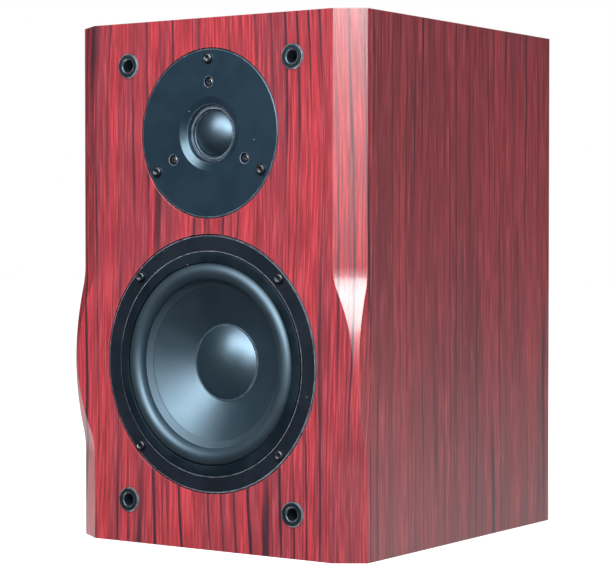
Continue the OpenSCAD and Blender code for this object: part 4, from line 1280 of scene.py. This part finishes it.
@dataclass
class RearFittings:
    """The port tube, the terminal cup and the binding posts.

    Args:
        port_r: Inner radius of the port.
        flare_r: Radius of the port's flared mouth.
        wall: Thickness of the port's wall.
        flange_t: Thickness of the port's flange.
    """

    port_r: float = 20.0
    flare_r: float = 8.0
    wall: float = 2.0
    flange_t: float = 3.0

    def build(self) -> None:
        """Builds the fittings of the rear."""
        self.port()
        dress(mended("terminal_cup", "moulded_cup", 0.4), "terminal_cup")
        for node in ("terminal_cup_seal", "terminal_cup_screws", "post_nuts", "solder_lugs"):
            dress(mended(node, f"fitted_{node}", 0.12), node)
        dress(mended("post_stems", "threaded_stems", 0.1), "post_stems")
        for side in ("red", "black"):
            dress(mended(f"{side}_post_collar", f"{side}_collar", 0.3), f"{side}_post_collar")
            dress(mended(f"{side}_clamp_washer", f"{side}_washer", 0.15), f"{side}_clamp_washer")
            dress(mended(f"{side}_post_cap", f"{side}_knob", 0.2), f"{side}_post_cap")

    def port(self) -> None:
        """Builds the port tube with its flared mouth and rounded flange."""
        low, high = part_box("port_tube")
        rear_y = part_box("rear_panel")[1].y
        inner_end = (low.y - rear_y) / MM
        neck_r = self.port_r + self.flare_r + self.wall
        flange_r = (high.x - low.x) / 2 / MM
        tube_r = self.port_r + self.wall
        flare_mid = (self.port_r + self.flare_r, self.flange_t - self.flare_r)
        mouth = arc(flare_mid, self.flare_r, 180.0, 90.0, 18)
        rim = arc((flange_r - 1.5, self.flange_t - 1.5), 1.5, 90.0, 0.0, 5)
        back = [(flange_r, 0.0), (neck_r, 0.0), (neck_r, -3.0), (tube_r, -3.0 - self.flare_r)]
        back += [(tube_r, inner_end)]
        at = placed(Facing.REAR, (low.x + high.x) / 2, rear_y, (low.z + high.z) / 2)
        outline = [(self.port_r, inner_end)] + mouth + rim + back
        dress(turned("flared_port", outline, at, sharp=34.0), "port_tube")


@dataclass
class Crossover:
    """The board behind the terminals, its components and the leads.

    Args:
        wire_r: Radius of the bass inductor's wire.
    """

    wire_r: float = 0.6

    def build(self) -> None:
        """Builds the board, the components and the leads."""
        for node in ("crossover_board", "crossover_screws", "bass_inductor_bobbin", "film_capacitors",
                     "ceramic_resistors"):
            dress(mended(node, f"fitted_{node}", 0.3), node)
        self.coil("bass_inductor_winding", "wound_bass_inductor")
        self.coil("treble_inductor", "wound_treble_inductor")
        for node in ("input_leads", "woofer_leads", "tweeter_leads"):
            dress(mended(node, f"insulated_{node}", 0.0, 60.0), node)

    def coil(self, node: str, name: str) -> None:
        """Builds a winding whose outer turns show.

        Args:
            node: The node that it stands for.
            name: The piece's name.
        """
        low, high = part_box(node)
        middle = (low + high) / 2
        outer = (high.x - low.x) / 2 / MM
        places = [vert.co - middle for vert in NODES[node].data.vertices]
        inner = min(math.hypot(place.x, place.y) for place in places) / MM
        bottom = low.z / MM
        top = high.z / MM
        turns = max(3, int((top - bottom) / (2 * self.wire_r)))
        radius = (top - bottom) / (2 * turns)
        outline = [(inner, bottom)]
        for turn in range(turns):
            outline += arc((outer - radius, bottom + radius * (2 * turn + 1)), radius, -80.0, 80.0, 5)
        at = Matrix.Translation((middle.x, middle.y, 0.0)) @ Matrix.Scale(MM, 4)
        dress(turned(name, outline + [(inner, top)], at, 72), node, "standing_copper")


# ---------------------------------------------------------------- stage


@dataclass
class Studio:
    """Floor, lights, surroundings and camera.

    Args:
        yaw: Turn of the camera to the object's right, in degrees.
        pitch: How far the camera looks down, in degrees.
        distance: Distance from the camera to what it looks at, in metres.
        lens: Focal length for a sensor 36 mm wide.
        aim: What the camera looks at: to the right of the middle, the front, and above the base, in metres.
    """

    yaw: float = 34.41
    pitch: float = 1.345
    distance: float = 1.2213
    lens: float = 120.71
    aim: tuple[float, float] = (0.07264, 0.16411)

    def build(self) -> None:
        """Builds the stage."""
        self.camera()
        self.floor()
        self.surroundings()
        self.softbox("key_softbox", 8.0, 37.0, 1.7, (1.4, 0.95), 33.0)
        self.softbox("lens_side_softbox", 38.0, 22.0, 2.4, (0.5, 0.95), 34.0)
        self.softbox("lens_side_fill", 36.0, 5.0, 2.6, (1.0, 0.4), 2.5)
        bpy.context.scene.view_settings.view_transform = "Standard"

    @staticmethod
    def toward(azimuth: float, elevation: float) -> Vector:
        """Gives the direction from the object to a place round it.

        Args:
            azimuth: Turn from the front to the object's right side, in degrees.
            elevation: Height above the horizon, in degrees.

        Returns:
            The direction, of length 1.
        """
        turn = math.radians(azimuth)
        tall = math.radians(elevation)
        return Vector((math.sin(turn) * math.cos(tall), -math.cos(turn) * math.cos(tall), math.sin(tall)))

    def camera(self) -> None:
        """Sets the camera."""
        data = bpy.data.cameras.new("camera")
        data.lens = self.lens
        data.sensor_width = 36.0
        data.clip_start = 0.05
        made = bpy.data.objects.new("camera", data)
        bpy.context.scene.collection.objects.link(made)
        target = Vector((self.aim[0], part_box("front_baffle")[0].y, self.aim[1]))
        out = self.toward(self.yaw, self.pitch)
        made.location = target + out * self.distance
        made.rotation_euler = out.to_track_quat("Z", "Y").to_euler()
        bpy.context.scene.camera = made

    def floor(self) -> None:
        """Lays a plain pale floor."""
        bm = bmesh.new()
        bmesh.ops.create_grid(bm, x_segments=2, y_segments=2, size=6.0)
        made = finished(bm, "floor")
        paint = Moulded(
            "pale_floor", (0.95, 0.95, 0.955), (0.97, 0.97, 0.97), 0.6, 0.1, 400.0, 0.00002, dust=0.0,
            edge_amount=0.0, specular=0.2).material()
        shader = next(node for node in paint.node_tree.nodes if node.type == "BSDF_PRINCIPLED")
        shader.inputs["Emission Color"].default_value = (*WHITE, 1.0)
        shader.inputs["Emission Strength"].default_value = 0.16
        made.data.materials.append(paint)
        made.visible_glossy = False

    def surroundings(self) -> None:
        """Makes a white room whose even light and dark reflections are set apart by kind of ray."""
        world = bpy.data.worlds.new("room")
        world.use_nodes = True
        world.node_tree.nodes.clear()
        graph = Graph(world.node_tree)
        place = graph.node("ShaderNodeTexCoord").outputs["Generated"]
        parts = graph.node("ShaderNodeSeparateXYZ", {"Vector": place}).outputs
        behind = graph.window(parts["Y"], -0.3, 0.35)
        below = graph.window(parts["Z"], -0.17, -0.01, 1.0, 0.0)
        shine = graph.math("MULTIPLY_ADD", graph.math("MULTIPLY", behind, below), 0.85, 0.02)
        high = graph.window(parts["Z"], 0.15, 0.6)
        sideways = graph.window(parts["X"], -0.9, 0.1, 0.1, 0.9)
        even = graph.math("MAXIMUM", sideways, graph.math("MULTIPLY", high, 1.3))
        rays = graph.node("ShaderNodeLightPath").outputs
        soft = graph.mix(rays["Is Glossy Ray"], even, shine)
        colour = graph.mix(rays["Is Camera Ray"], soft, WHITE)
        shader = graph.node("ShaderNodeBackground", {"Color": colour, "Strength": 1.0})
        graph.node("ShaderNodeOutputWorld", {"Surface": shader.outputs[0]})
        bpy.context.scene.world = world

    def softbox(
        self, name: str, azimuth: float, elevation: float, distance: float,
        size: tuple[float, float], power: float,
    ) -> None:
        """Sets a soft light that faces the object.

        Args:
            name: The light's name.
            azimuth: Turn from the front to the object's right side, in degrees.
            elevation: Height above the horizon, in degrees.
            distance: Distance from the object, in metres.
            size: Width and height, in metres.
            power: Power, in watts.
        """
        data = bpy.data.lights.new(name, "AREA")
        data.shape = "RECTANGLE"
        data.size, data.size_y = size
        data.energy = power
        made = bpy.data.objects.new(name, data)
        bpy.context.scene.collection.objects.link(made)
        out = self.toward(azimuth, elevation)
        made.location = Vector((0.0, 0.0, 0.16)) + out * distance
        made.rotation_euler = out.to_track_quat("Z", "Y").to_euler()
        made.visible_camera = False


def main() -> None:
    """Builds the stage and every sub-assembly."""
    logging.basicConfig(level=logging.INFO, format="%(name)s: %(message)s")
    for assembly in (Studio(), Cabinet(), BassDriver(), Tweeter(), Fixings(), RearFittings(), Crossover()):
        assembly.build()
        LOG.info("%s is built", type(assembly).__name__)


if __name__ == "__main__":
    main()
